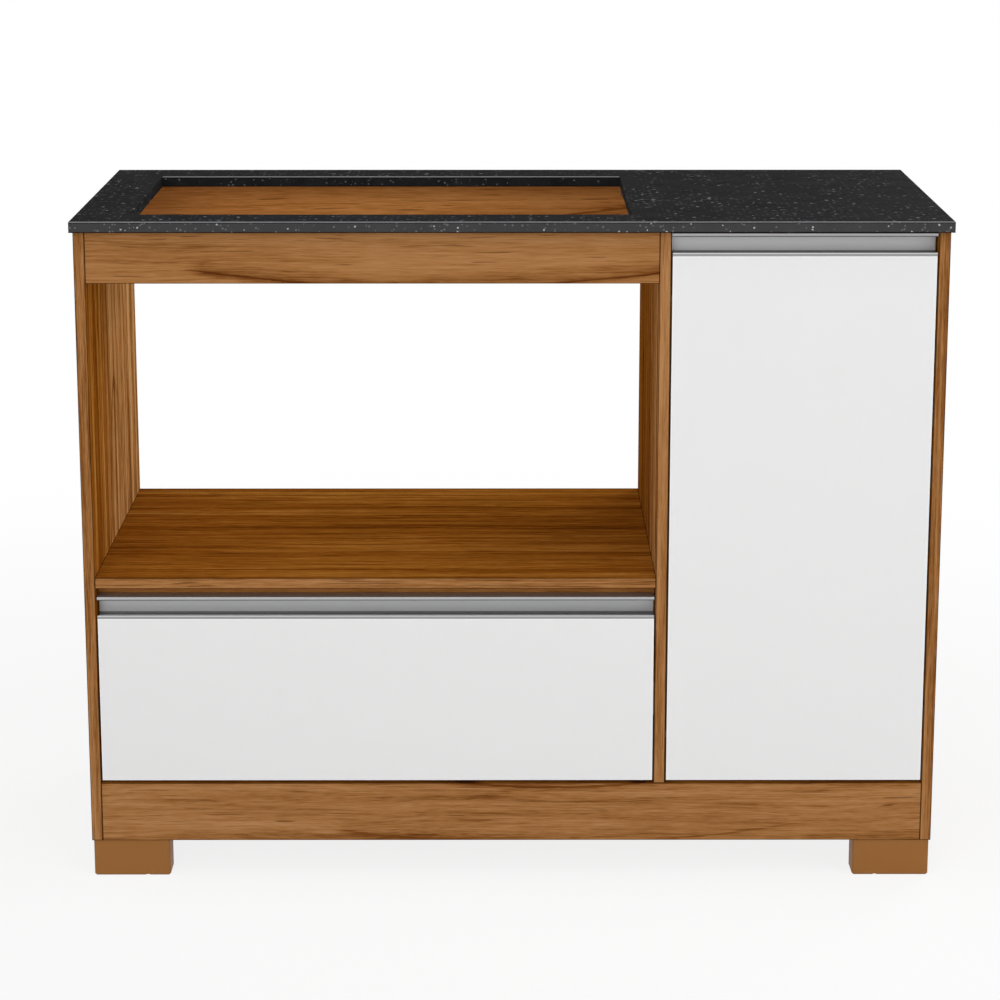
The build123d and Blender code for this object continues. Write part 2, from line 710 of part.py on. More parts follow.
# Worktop with the cooktop cut-out
worktop_front = FRONT - WORKTOP_FRONT_OVERHANG
cutout_left = LEFT - WORKTOP_SIDE_OVERHANG + CUTOUT_FROM_LEFT
with BuildPart() as worktop:
    slab(
        (LEFT - WORKTOP_SIDE_OVERHANG, RIGHT + WORKTOP_SIDE_OVERHANG),
        (worktop_front, BACK),
        (SIDE_TOP, SIDE_TOP + WORKTOP_THICKNESS),
    )
    fillet(worktop.edges().group_by(Axis.Z)[-1], WORKTOP_EDGE_ROUND)
    with BuildSketch(Plane.XY.offset(SIDE_TOP)):
        with Locations(
            (cutout_left + CUTOUT_WIDTH / 2, worktop_front + CUTOUT_FROM_FRONT + CUTOUT_DEPTH / 2)
        ):
            RectangleRounded(CUTOUT_WIDTH, CUTOUT_DEPTH, CUTOUT_CORNER)
    extrude(amount=WORKTOP_THICKNESS, mode=Mode.SUBTRACT)
    bore_screws(bracket_top_screws, SMALL_SCREW)
save(worktop, "worktop")

# Loose cupboard shelf and its pins
pin_height = pin_heights[PIN_IN_USE]
shelf_seat = pin_height + PIN_DIAMETER / 2 + PIN_SEAT_GAP
with BuildPart() as cupboard_shelf:
    slab(
        (DIVIDER_RIGHT + SHELF_SIDE_GAP, INNER_RIGHT - SHELF_SIDE_GAP),
        (FRONT + SHELF_SETBACK, GROOVE_FRONT - SHELF_BACK_GAP),
        (shelf_seat, shelf_seat + BOARD),
    )
    soften_front(cupboard_shelf, Axis.X)
save(cupboard_shelf, "cupboard_shelf")

with BuildPart() as shelf_pins:
    with Locations(*pins_in_use):
        Cylinder(PIN_DIAMETER / 2, PIN_IN_PANEL, align=IN)
        Cylinder(PIN_DIAMETER / 2, PIN_OUT, align=ON)
save(shelf_pins, "shelf_pins")

with BuildPart() as door_stops:
    with Locations(*stop_planes):
        Cylinder(PIN_DIAMETER / 2, PIN_IN_PANEL, align=IN)
        Cylinder(STOP_HEAD_DIAMETER / 2, STOP_HEAD, align=ON)
    fillet(door_stops.edges().filter_by(GeomType.CIRCLE).group_by(Axis.X)[-1], STOP_ROUND)
save(door_stops, "door_stops")

# Feet
for name, (corner_x, corner_y, inward_x, inward_y) in foot_corners.items():
    outer_x = corner_x + inward_x * FOOT_INSET
    outer_y = corner_y + inward_y * FOOT_INSET
    with BuildPart() as foot:
        slab(
            sorted((outer_x, outer_x + inward_x * FOOT_WIDTH)),
            sorted((outer_y, outer_y + inward_y * FOOT_DEPTH)),
            (0, FOOT_HEIGHT),
        )
        fillet(foot.edges().filter_by(Axis.Z), FOOT_UPRIGHT_ROUND)
        chamfer(foot.edges().group_by(Axis.Z)[0], FOOT_CHAMFER)
        bore_screws(foot_screw_planes, FOOT_SCREW)
        with Locations(*foot_screw_planes):
            Cylinder(FOOT_BORE_DIAMETER / 2, FOOT_BORE_DEPTH, align=ON, mode=Mode.SUBTRACT)
    save(foot, name)

# Cam locks, cam bolts, dowels and screws of the carcass
cam_seats = [cam_seat(end) for end in cam_ends]
with BuildPart() as cam_locks:
    with Locations(*cam_seats):
        Cylinder(CAM_DIAMETER / 2, CAM_HEIGHT, align=IN)
        Box(CAM_CROSS_LENGTH, CAM_CROSS_WIDTH, 2 * CAM_CROSS_DEPTH, mode=Mode.SUBTRACT)
        Box(CAM_CROSS_WIDTH, CAM_CROSS_LENGTH, 2 * CAM_CROSS_DEPTH, mode=Mode.SUBTRACT)
    pocket = Location((-CAM_DIAMETER / 4, 0, -BOARD / 2))
    with Locations(*[Plane(seat.location * pocket) for seat in cam_seats]):
        Box(CAM_DIAMETER / 2 + CAM_POCKET, CAM_POCKET, CAM_POCKET, mode=Mode.SUBTRACT)
save(cam_locks, "cam_locks")

shank_length = CAM_DISTANCE - BOLT_NECK_LENGTH - BOLT_HEAD_LENGTH / 2
with BuildPart() as cam_bolts:
    with Locations(*cam_ends):
        Cylinder(BOLT_THREAD_DIAMETER / 2, BOLT_THREAD_LENGTH, align=IN)
        Cylinder(BOLT_SHANK_DIAMETER / 2, shank_length, align=ON)
    with Locations(*[end.offset(shank_length) for end in cam_ends]):
        Cylinder(BOLT_NECK_DIAMETER / 2, BOLT_NECK_LENGTH, align=ON)
    with Locations(*[end.offset(shank_length + BOLT_NECK_LENGTH) for end in cam_ends]):
        Cylinder(BOLT_HEAD_DIAMETER / 2, BOLT_HEAD_LENGTH, align=ON)
save(cam_bolts, "cam_bolts")

with BuildPart() as dowels:
    all_dowels = dowel_ends + recessed_top_dowels + cross_rail_dowels
    with Locations(*[end.offset(-DOWEL_IN_PANEL) for end in all_dowels]):
        Cylinder(DOWEL_DIAMETER / 2, DOWEL_IN_PANEL + DOWEL_IN_BOARD, align=ON)
save(dowels, "dowels")

save(screws(connecting_planes, CONNECTING_SCREW), "connecting_screws")
save(screws(foot_screw_planes, FOOT_SCREW), "foot_screws")

# Brackets under the worktop
with BuildPart() as worktop_brackets:
    for corner in bracket_corners:
        with BuildSketch(corner):
            with BuildLine():
                Polyline(
                    (0, 0),
                    (BRACKET_LEG, 0),
                    (BRACKET_LEG, -BRACKET_GAUGE),
                    (BRACKET_GAUGE, -BRACKET_GAUGE),
                    (BRACKET_GAUGE, -BRACKET_LEG),
                    (0, -BRACKET_LEG),
                    close=True,
                )
            make_face()
        extrude(amount=BRACKET_WIDTH / 2, both=True)
    bore_screws(bracket_panel_screws + bracket_top_screws, SMALL_SCREW)
save(worktop_brackets, "worktop_brackets")
save(screws(bracket_panel_screws + bracket_top_screws, SMALL_SCREW), "bracket_screws")

# Slides: outer members on the cabinet, middle members, inner members on the drawer
outer_half = SLIDE_HEIGHT / 2
outer_ball_height = outer_half - SLIDE_GAUGE - BALL_FIT - OUTER_BALL / 2
middle_half = outer_ball_height - OUTER_BALL / 2 - BALL_FIT
inner_ball_height = middle_half - SLIDE_GAUGE - BALL_FIT - INNER_BALL / 2
inner_half = inner_ball_height - INNER_BALL / 2 - BALL_FIT
outer_tip = SLIDE_THICKNESS - SLIDE_TIP_SHORT
middle_web = SLIDE_GAUGE + MIDDLE_WEB_GAP
middle_tip = SLIDE_THICKNESS - MIDDLE_TIP_SHORT
outer_cage_web = SLIDE_GAUGE + CAGE_GAP
inner_cage_web = middle_web + SLIDE_GAUGE + CAGE_GAP
slide_section = Plane.XZ.offset(-slide_start)
cage_travel = SLIDE_TRAVEL / 4
cage_start = slide_start + cage_travel + CAGE_MARGIN
cage_end = slide_end - cage_travel - CAGE_MARGIN
ball_pitch = (cage_end - cage_start - 2 * CAGE_EDGE) / (BALLS_PER_ROW - 1)
ball_places = [cage_start + CAGE_EDGE + n * ball_pitch for n in range(BALLS_PER_ROW)]


def channel_outline(wall, into, web, tip, half, gauge):
    """Corner points of a channel on its side: its web and tips are measured from the wall."""
    turn = into if tip > web else -into
    x_web = wall + into * web
    x_tip = wall + into * tip
    low = slide_middle_height - half
    high = slide_middle_height + half
    return [
        (x_tip, high),
        (x_web, high),
        (x_web, low),
        (x_tip, low),
        (x_tip, low + gauge),
        (x_web + turn * gauge, low + gauge),
        (x_web + turn * gauge, high - gauge),
        (x_tip, high - gauge),
    ]


with BuildPart() as slide_outer_members:
    for wall, into in slide_walls:
        with BuildSketch(slide_section):
            with BuildLine():
                Polyline(*channel_outline(wall, into, 0, outer_tip, outer_half, SLIDE_GAUGE), close=True)
            make_face()
        extrude(amount=-SLIDE_LENGTH)
        lip = sorted((wall + into * outer_tip, wall + into * (outer_tip - SLIDE_GAUGE)))
        for up in (-1, 1):
            lip_root = slide_middle_height + up * (outer_half - SLIDE_GAUGE)
            slab(lip, (slide_start, slide_end), sorted((lip_root, lip_root - up * SLIDE_LIP)))
    bore_screws(slide_wall_screws, SMALL_SCREW)
save(slide_outer_members, "slide_outer_members")

with BuildPart() as slide_middle_members:
    for wall, into in slide_walls:
        with BuildSketch(slide_section):
            with BuildLine():
                Polyline(
                    *channel_outline(wall, into, middle_web, middle_tip, middle_half, SLIDE_GAUGE),
                    close=True,
                )
            make_face()
        extrude(amount=-SLIDE_LENGTH)
save(slide_middle_members, "slide_middle_members")

with BuildPart() as slide_inner_members:
    for wall, into in slide_walls:
        with BuildSketch(slide_section):
            with BuildLine():
                Polyline(
                    *channel_outline(
                        wall,
                        into,
                        SLIDE_THICKNESS,
                        SLIDE_THICKNESS - INNER_DEPTH,
                        inner_half,
                        SLIDE_GAUGE,
                    ),
                    close=True,
                )
            make_face()
        extrude(amount=-SLIDE_LENGTH)
    bore_screws(slide_drawer_screws, SMALL_SCREW)
save(slide_inner_members, "slide_inner_members")
save(screws(slide_wall_screws, SMALL_SCREW), "slide_wall_screws")
save(screws(slide_drawer_screws, SMALL_SCREW), "slide_drawer_screws")


def cage(web, tip, ball_height, ball):
    """A pair of ball cages, left and right: a thin channel with a hole for each ball."""
    ball_middle = (web + CAGE_GAUGE + tip) / 2
    holes = [
        (wall + into * ball_middle, y, slide_middle_height + up * ball_height)
        for wall, into in slide_walls
        for y in ball_places
        for up in (-1, 1)
    ]
    half = ball_height + CAGE_GAUGE / 2
    with BuildPart() as cages:
        for wall, into in slide_walls:
            with BuildSketch(Plane.XZ.offset(-cage_start)):
                with BuildLine():
                    Polyline(*channel_outline(wall, into, web, tip, half, CAGE_GAUGE), close=True)
                make_face()
            extrude(amount=cage_start - cage_end)
        with Locations(*holes):
            Cylinder(ball / 2 + CAGE_FIT, 2 * CAGE_GAUGE, mode=Mode.SUBTRACT)
    with BuildPart() as balls:
        with Locations(*holes):
            Sphere(ball / 2)
    return cages, balls


outer_cages, outer_balls = cage(outer_cage_web, OUTER_CAGE_TIP, outer_ball_height, OUTER_BALL)
inner_cages, inner_balls = cage(inner_cage_web, INNER_CAGE_TIP, inner_ball_height, INNER_BALL)
save(outer_cages, "slide_outer_cages")
save(outer_balls, "slide_outer_balls")
save(inner_cages, "slide_inner_cages")
save(inner_balls, "slide_inner_balls")

# Drawer box
box_left = INNER_LEFT + SLIDE_THICKNESS
box_right = DIVIDER_LEFT - SLIDE_THICKNESS
box_front = BEHIND_FRONT
box_back = box_front + DRAWER_SIDE_LENGTH
box_bottom = drawer_bottom_edge
box_top = box_bottom + DRAWER_SIDE_HEIGHT
box_inside_x = (box_left + DRAWER_BOARD, box_right - DRAWER_BOARD)
box_inside_y = (box_front + DRAWER_BOARD, box_back - DRAWER_BOARD)
groove_bottom = box_bottom + DRAWER_BOTTOM_UP
groove_top = groove_bottom + DRAWER_BOTTOM + 2 * GROOVE_CLEARANCE
box_groove = DRAWER_GROOVE_DEPTH
drawer_top = SHELF_BOTTOM - DRAWER_TOP_REVEAL
drawer_panel_top = drawer_top - HANDLE_HEIGHT
front_x = (INNER_LEFT + SIDE_REVEAL, DIVIDER_LEFT - SIDE_REVEAL)
box_screw_planes = [
    Plane(origin=(x, y, z), x_dir=(0, 1, 0), z_dir=(out, 0, 0))
    for x, out in ((box_left, -1), (box_right, 1))
    for y in (box_front + DRAWER_BOARD / 2, box_back - DRAWER_BOARD / 2)
    for z in (box_bottom + BOX_SCREWS_FROM_EDGE, box_top - BOX_SCREWS_FROM_EDGE)
]
front_screw_step = (box_inside_x[1] - box_inside_x[0]) / (FRONT_SCREW_COLUMNS + 1)
front_screw_planes = [
    Plane(
        origin=(box_inside_x[0] + (n + 1) * front_screw_step, box_inside_y[0], z),
        x_dir=(1, 0, 0),
        z_dir=to_back,
    )
    for n in range(FRONT_SCREW_COLUMNS)
    for z in (box_bottom + FRONT_SCREWS_FROM_EDGE, box_top - FRONT_SCREWS_FROM_EDGE)
]


def cut_bottom_groove():
    """Cuts the groove that holds the drawer bottom in whichever box board is being made."""
    slab(
        (box_inside_x[0] - box_groove, box_inside_x[1] + box_groove),
        (box_inside_y[0] - box_groove, box_inside_y[1] + box_groove),
        (groove_bottom, groove_top),
        mode=Mode.SUBTRACT,
    )


for name, x_range in (
    ("drawer_side_left", (box_left, box_left + DRAWER_BOARD)),
    ("drawer_side_right", (box_right - DRAWER_BOARD, box_right)),
):
    with BuildPart() as drawer_side:
        slab(x_range, (box_front, box_back), (box_bottom, box_top))
        fillet(drawer_side.edges().filter_by(Axis.Y).group_by(Axis.Z)[-1], EDGE_ROUND)
        cut_bottom_groove()
        bore_screws(box_screw_planes, BOX_SCREW)
        bore_screws(slide_drawer_screws, SMALL_SCREW)
    save(drawer_side, name)

for name, y_range in (
    ("drawer_box_front", (box_front, box_front + DRAWER_BOARD)),
    ("drawer_box_back", (box_back - DRAWER_BOARD, box_back)),
):
    with BuildPart() as drawer_end:
        slab(box_inside_x, y_range, (box_bottom, box_top))
        fillet(drawer_end.edges().filter_by(Axis.X).group_by(Axis.Z)[-1], EDGE_ROUND)
        cut_bottom_groove()
        bore_screws(box_screw_planes, BOX_SCREW)
        bore_screws(front_screw_planes, FRONT_SCREW)
    save(drawer_end, name)

bottom_held = box_groove - PANEL_END_GAP
with BuildPart() as drawer_bottom:
    slab(
        (box_inside_x[0] - bottom_held, box_inside_x[1] + bottom_held),
        (box_inside_y[0] - bottom_held, box_inside_y[1] + bottom_held),
        (groove_bottom + GROOVE_CLEARANCE, groove_top - GROOVE_CLEARANCE),
    )
save(drawer_bottom, "drawer_bottom")
save(screws(box_screw_planes, BOX_SCREW), "drawer_box_screws")
save(screws(front_screw_planes, FRONT_SCREW), "drawer_front_screws")


def handle_screw_planes(x_range, panel_top, count):
    """Planes on the floor of a handle channel, over the middle of its panel's top edge."""
    step = (x_range[1] - x_range[0] - 2 * HANDLE_SCREWS_FROM_END) / (count - 1)
    return [
        Plane(
            origin=(x_range[0] + HANDLE_SCREWS_FROM_END + n * step, front_middle, panel_top + HANDLE_WALL),
            x_dir=(1, 0, 0),
            z_dir=(0, 0, 1),
        )
        for n in range(count)
    ]


def handle(x_range, panel_top, screw_planes):
    """A channel handle: open to the front between two lips, standing on a panel's top edge."""
    back = FRONT + HANDLE_DEPTH
    top = panel_top + HANDLE_HEIGHT
    with BuildPart() as channel:
        with BuildSketch(Plane.YZ.offset(x_range[0])):
            with BuildLine():
                Polyline(
                    (FRONT, panel_top),
                    (back, panel_top),
                    (back, top),
                    (FRONT, top),
                    (FRONT, top - HANDLE_LIP),
                    (FRONT + HANDLE_WALL, top - HANDLE_LIP),
                    (FRONT + HANDLE_WALL, top - HANDLE_WALL),
                    (back - HANDLE_WALL, top - HANDLE_WALL),
                    (back - HANDLE_WALL, panel_top + HANDLE_WALL),
                    (FRONT + HANDLE_WALL, panel_top + HANDLE_WALL),
                    (FRONT + HANDLE_WALL, panel_top + HANDLE_LIP),
                    (FRONT, panel_top + HANDLE_LIP),
                    close=True,
                )
            make_face()
        extrude(amount=x_range[1] - x_range[0])
        front_edges = channel.edges().filter_by(Axis.X).group_by(Axis.Y)
        fillet(front_edges[0] + front_edges[-1], HANDLE_EDGE_ROUND)
        bore_screws(screw_planes, HANDLE_SCREW)
    return channel


# Drawer front and its handle
drawer_handle_planes = handle_screw_planes(front_x, drawer_panel_top, DRAWER_HANDLE_SCREWS)
with BuildPart() as drawer_front:
    slab(front_x, (FRONT, BEHIND_FRONT), (door_bottom, drawer_panel_top))
    fillet(drawer_front.faces().sort_by(Axis.Y)[0].edges(), EDGE_ROUND)
    bore_screws(front_screw_planes, FRONT_SCREW)
    bore_screws(drawer_handle_planes, HANDLE_SCREW)
save(drawer_front, "drawer_front")
save(handle(front_x, drawer_panel_top, drawer_handle_planes), "drawer_handle")
save(screws(drawer_handle_planes, HANDLE_SCREW), "drawer_handle_screws")

# Door panel and its handle
door_x = (DIVIDER_RIGHT + SIDE_REVEAL, INNER_RIGHT - SIDE_REVEAL)
door_handle_planes = handle_screw_planes(door_x, door_panel_top, DOOR_HANDLE_SCREWS)
cup_planes = [
    Plane(origin=(cup_x, BEHIND_FRONT, z), x_dir=(1, 0, 0), z_dir=to_back) for z in hinge_heights
]
cup_screw_planes = [
    Plane(origin=(cup_x, BEHIND_FRONT + CUP_FLANGE, z + offset), x_dir=(1, 0, 0), z_dir=to_back)
    for z in hinge_heights
    for offset in (-CUP_SCREW_PITCH / 2, CUP_SCREW_PITCH / 2)
]
with BuildPart() as door_panel:
    slab(door_x, (FRONT, BEHIND_FRONT), (door_bottom, door_panel_top))
    fillet(door_panel.faces().sort_by(Axis.Y)[0].edges(), EDGE_ROUND)
    bore_screws(door_handle_planes, HANDLE_SCREW)
    bore_screws(cup_screw_planes, SMALL_SCREW)
    with Locations(*cup_planes):
        Cylinder(CUP_DIAMETER / 2 + CUP_FIT, CUP_DEPTH + CUP_FIT, align=IN, mode=Mode.SUBTRACT)
save(door_panel, "door_panel")
save(handle(door_x, door_panel_top, door_handle_planes), "door_handle")
save(screws(door_handle_planes, HANDLE_SCREW), "door_handle_screws")

# Door hinges: cups in the door, pins across them, arms and plates on the side panel
pin_planes_in_cups = [
    Plane(origin=(pivot_x, pivot_y, z), x_dir=(1, 0, 0), z_dir=(0, 0, 1)) for z in hinge_heights
]
with BuildPart() as hinge_cups:
    with Locations(*cup_planes):
        Cylinder(CUP_DIAMETER / 2, CUP_DEPTH, align=IN)
        Cylinder(CUP_DIAMETER / 2 + CUP_RIM, CUP_FLANGE, align=ON)
        Box(CUP_FLANGE_WIDTH, CUP_FLANGE_LENGTH, CUP_FLANGE, align=ON)
    with Locations(*[plane.offset(CUP_FLANGE) for plane in cup_planes]):
        Cylinder(
            CUP_DIAMETER / 2 - CUP_WALL,
            CUP_DEPTH + CUP_FLANGE - CUP_WALL,
            align=IN,
            mode=Mode.SUBTRACT,
        )
    cup_floor = BEHIND_FRONT - CUP_DEPTH + CUP_WALL
    for z in hinge_heights:
        for up in (-1, 1):
            slab(
                (pivot_x - LUG_WIDTH / 2, pivot_x + LUG_WIDTH / 2),
                (cup_floor, pivot_y + LUG_WIDTH / 2),
                sorted((z + up * LUG_FROM_MIDDLE, z + up * (LUG_FROM_MIDDLE + LUG_LENGTH))),
            )
    with Locations(*pin_planes_in_cups):
        Cylinder(
            HINGE_PIN_DIAMETER / 2 + HINGE_PIN_FIT,
            2 * (LUG_FROM_MIDDLE + LUG_LENGTH),
            mode=Mode.SUBTRACT,
        )
    bore_screws(cup_screw_planes, SMALL_SCREW)
save(hinge_cups, "hinge_cups")
save(screws(cup_screw_planes, SMALL_SCREW), "hinge_cup_screws")

with BuildPart() as hinge_pins:
    with Locations(*pin_planes_in_cups):
        Cylinder(HINGE_PIN_DIAMETER / 2, HINGE_PIN_LENGTH)
save(hinge_pins, "hinge_pins")

with BuildPart() as hinge_plates:
    for z in hinge_heights:
        slab(
            (plate_x, INNER_RIGHT),
            (plate_start, plate_end),
            (z - PLATE_HEIGHT / 2, z + PLATE_HEIGHT / 2),
        )
        slab(
            (plate_x, INNER_RIGHT),
            (plate_middle - PLATE_WING_LENGTH / 2, plate_middle + PLATE_WING_LENGTH / 2),
            (z - PLATE_WING_HEIGHT / 2, z + PLATE_WING_HEIGHT / 2),
        )
    fillet(hinge_plates.edges().filter_by(Axis.X), PLATE_CORNER_ROUND)
    bore_screws(plate_screw_planes + arm_screw_planes, SMALL_SCREW)
save(hinge_plates, "hinge_plates")
save(screws(plate_screw_planes + arm_screw_planes, SMALL_SCREW), "hinge_plate_screws")

neck_x = INNER_RIGHT - NECK_FROM_SIDE
with BuildPart() as hinge_arms:
    for z in hinge_heights:
        with BuildSketch(Plane.XY.offset(z - ARM_HEIGHT / 2)):
            with BuildLine():
                FilletPolyline(
                    (pivot_x, pivot_y),
                    (neck_x, BEHIND_FRONT - NECK_IN_CUP),
                    (neck_x, BEHIND_FRONT + NECK_OUT),
                    (neck_x + (BRIDGE_OUT - NECK_OUT), BEHIND_FRONT + BRIDGE_OUT),
                    (arm_leg_x - (ARM_LEG_START - BRIDGE_OUT), BEHIND_FRONT + BRIDGE_OUT),
                    (arm_leg_x, BEHIND_FRONT + ARM_LEG_START),
                    (arm_leg_x, plate_end),
                    radius=NECK_BEND,
                )
            trace(line_width=ARM_GAUGE)
            with Locations((pivot_x, pivot_y)):
                Circle(EYE_DIAMETER / 2)
                Circle(HINGE_PIN_DIAMETER / 2 + HINGE_PIN_FIT, mode=Mode.SUBTRACT)
        extrude(amount=ARM_HEIGHT)
    bore_screws(arm_screw_planes, SMALL_SCREW)
save(hinge_arms, "hinge_arms")
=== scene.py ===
"""The looks of a cooktop base cabinet: its finishes, small hardware, floor, light and camera."""

from __future__ import annotations

import logging
import math
from dataclasses import dataclass, field
from enum import Enum
from typing import Any, Callable, Optional, Sequence, Union

import bmesh
import bpy
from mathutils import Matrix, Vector


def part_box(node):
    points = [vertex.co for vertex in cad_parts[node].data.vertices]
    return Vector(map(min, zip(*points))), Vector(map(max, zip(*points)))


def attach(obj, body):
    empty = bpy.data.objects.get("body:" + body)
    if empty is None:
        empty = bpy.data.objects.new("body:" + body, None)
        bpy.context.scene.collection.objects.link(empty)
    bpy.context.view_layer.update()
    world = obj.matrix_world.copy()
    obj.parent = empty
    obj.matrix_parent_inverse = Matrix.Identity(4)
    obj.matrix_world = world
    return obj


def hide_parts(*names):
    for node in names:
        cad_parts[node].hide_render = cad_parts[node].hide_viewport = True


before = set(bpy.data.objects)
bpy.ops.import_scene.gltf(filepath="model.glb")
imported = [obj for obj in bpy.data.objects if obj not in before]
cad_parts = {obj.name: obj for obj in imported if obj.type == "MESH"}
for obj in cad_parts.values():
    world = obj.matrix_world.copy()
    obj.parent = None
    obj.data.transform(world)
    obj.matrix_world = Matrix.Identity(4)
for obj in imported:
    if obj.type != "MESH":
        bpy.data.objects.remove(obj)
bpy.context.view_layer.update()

log = logging.getLogger("cooktop_cabinet")

MILLIMETRE = 0.001
# A face looks along an axis where its normal has more than this share along it.
SQUARE_ON = 0.6
# A level that follows the value from 0 to 1 and stops there.
RISE = ((0.0, 0.0), (1.0, 1.0))

Colour = tuple[float, float, float, float]
Number = Union[float, int, "Wire"]
Triple = tuple[float, float, float]
Box = tuple[Vector, Vector]
Stops = Sequence[tuple[float, Colour]]
Levels = Sequence[tuple[float, float]]


def shown(red: float, green: float, blue: float) -> Colour:
    """Turns a colour as a screen shows it into linear light.

    Args:
        red: The red part, from 0 to 255.
        green: The green part, from 0 to 255.
        blue: The blue part, from 0 to 255.

    Returns:
        The same colour in linear light, with full opacity.
    """
    parts = [part / 255 for part in (red, green, blue)]
    light = [part / 12.92 if part <= 0.04045 else ((part + 0.055) / 1.055) ** 2.4 for part in parts]
    return light[0], light[1], light[2], 1.0


def dimmed(colour: Colour, share: float) -> Colour:
    """Gives a darker colour: a share of another one."""
    red, green, blue, _ = colour
    return red * share, green * share, blue * share, 1.0


def add_object(name: str, data: bpy.types.ID) -> bpy.types.Object:
    """Adds an object to the scene.

    Args:
        name: The object's name.
        data: Its mesh, lamp or camera.

    Returns:
        The object.
    """
    made = bpy.data.objects.new(name, data)
    bpy.context.scene.collection.objects.link(made)
    return made


class Way(Enum):
    """A direction along one axis of the cabinet, such as the way that a board's grain runs."""

    ACROSS = 0
    DEEP = 1
    UP = 2


def sign(operation: str, reflected: bool = False) -> Callable[..., Wire]:
    """Makes one of the signs that sums of wires are written with.

    Args:
        operation: The operation of its Math node.
        reflected: Whether the wire stands behind the sign.

    Returns:
        The method for the sign.
    """

    def work_out(wire: Wire, other: Number = 0.0) -> Wire:
        """Adds the Math node and gives its result."""
        values = {0: other, 1: wire} if reflected else {0: wire, 1: other}
        return wire.tree.node("ShaderNodeMath", {"operation": operation}, values)

    return work_out


class Wire:
    """One output of a node tree, which Python sums can be written with."""

    __add__ = sign("ADD")
    __radd__ = sign("ADD", reflected=True)
    __sub__ = sign("SUBTRACT")
    __rsub__ = sign("SUBTRACT", reflected=True)
    __mul__ = sign("MULTIPLY")
    __rmul__ = sign("MULTIPLY", reflected=True)
    __truediv__ = sign("DIVIDE")
    __rtruediv__ = sign("DIVIDE", reflected=True)
    __gt__ = sign("GREATER_THAN")
    __lt__ = sign("LESS_THAN")
    __or__ = sign("MAXIMUM")
    __abs__ = sign("ABSOLUTE")
    root = sign("SQRT")
    fraction = sign("FRACT")

    def __init__(self, tree: NodeSheet, socket: bpy.types.NodeSocket) -> None:
        """Keeps the output socket that the wire starts from, and its tree."""
        self.tree = tree
        self.socket = socket


class NodeSheet:
    """A node tree that is written from Python, for a material or for a mesh."""

    def __init__(self, tree: bpy.types.NodeTree) -> None:
        """Keeps the tree and empties it."""
        self.tree = tree
        self.tree.nodes.clear()

    def node(
        self,
        kind: str,
        settings: Optional[dict[str, Any]] = None,
        sockets: Optional[dict[Union[str, int], Any]] = None,
        out: Union[str, int] = 0,
    ) -> Wire:
        """Adds a node of any kind.

        Args:
            kind: The node's type.
            settings: Its settings, and a ramp's stops under the name stops.
            sockets: The value or the wire of each input that isn't left alone.
            out: The output that is wanted.

        Returns:
            A wire from that output.
        """
        made = self.tree.nodes.new(kind)
        for name, value in (settings or {}).items():
            if name == "stops":
                self._set_stops(made.color_ramp, value)
            else:
                setattr(made, name, value)
        for key, value in (sockets or {}).items():
            if isinstance(value, Wire):
                self.tree.links.new(value.socket, made.inputs[key])
            else:
                made.inputs[key].default_value = value
        return Wire(self, made.outputs[out]) if made.outputs else None

    @staticmethod
    def _set_stops(ramp: bpy.types.ColorRamp, stops: Stops) -> None:
        """Gives a ramp its stops.

        Args:
            ramp: The ramp of a Color Ramp node.
            stops: The place and the colour of each stop, in order.
        """
        while len(ramp.elements) > 1:
            ramp.elements.remove(ramp.elements[-1])
        ramp.elements[0].position, ramp.elements[0].color = stops[0]
        for place, colour in stops[1:]:
            ramp.elements.new(place).color = colour

    def vector(self, x: Number, y: Number, z: Number) -> Wire:
        """Joins three numbers to a vector."""
        return self.node("ShaderNodeCombineXYZ", sockets={0: x, 1: y, 2: z})


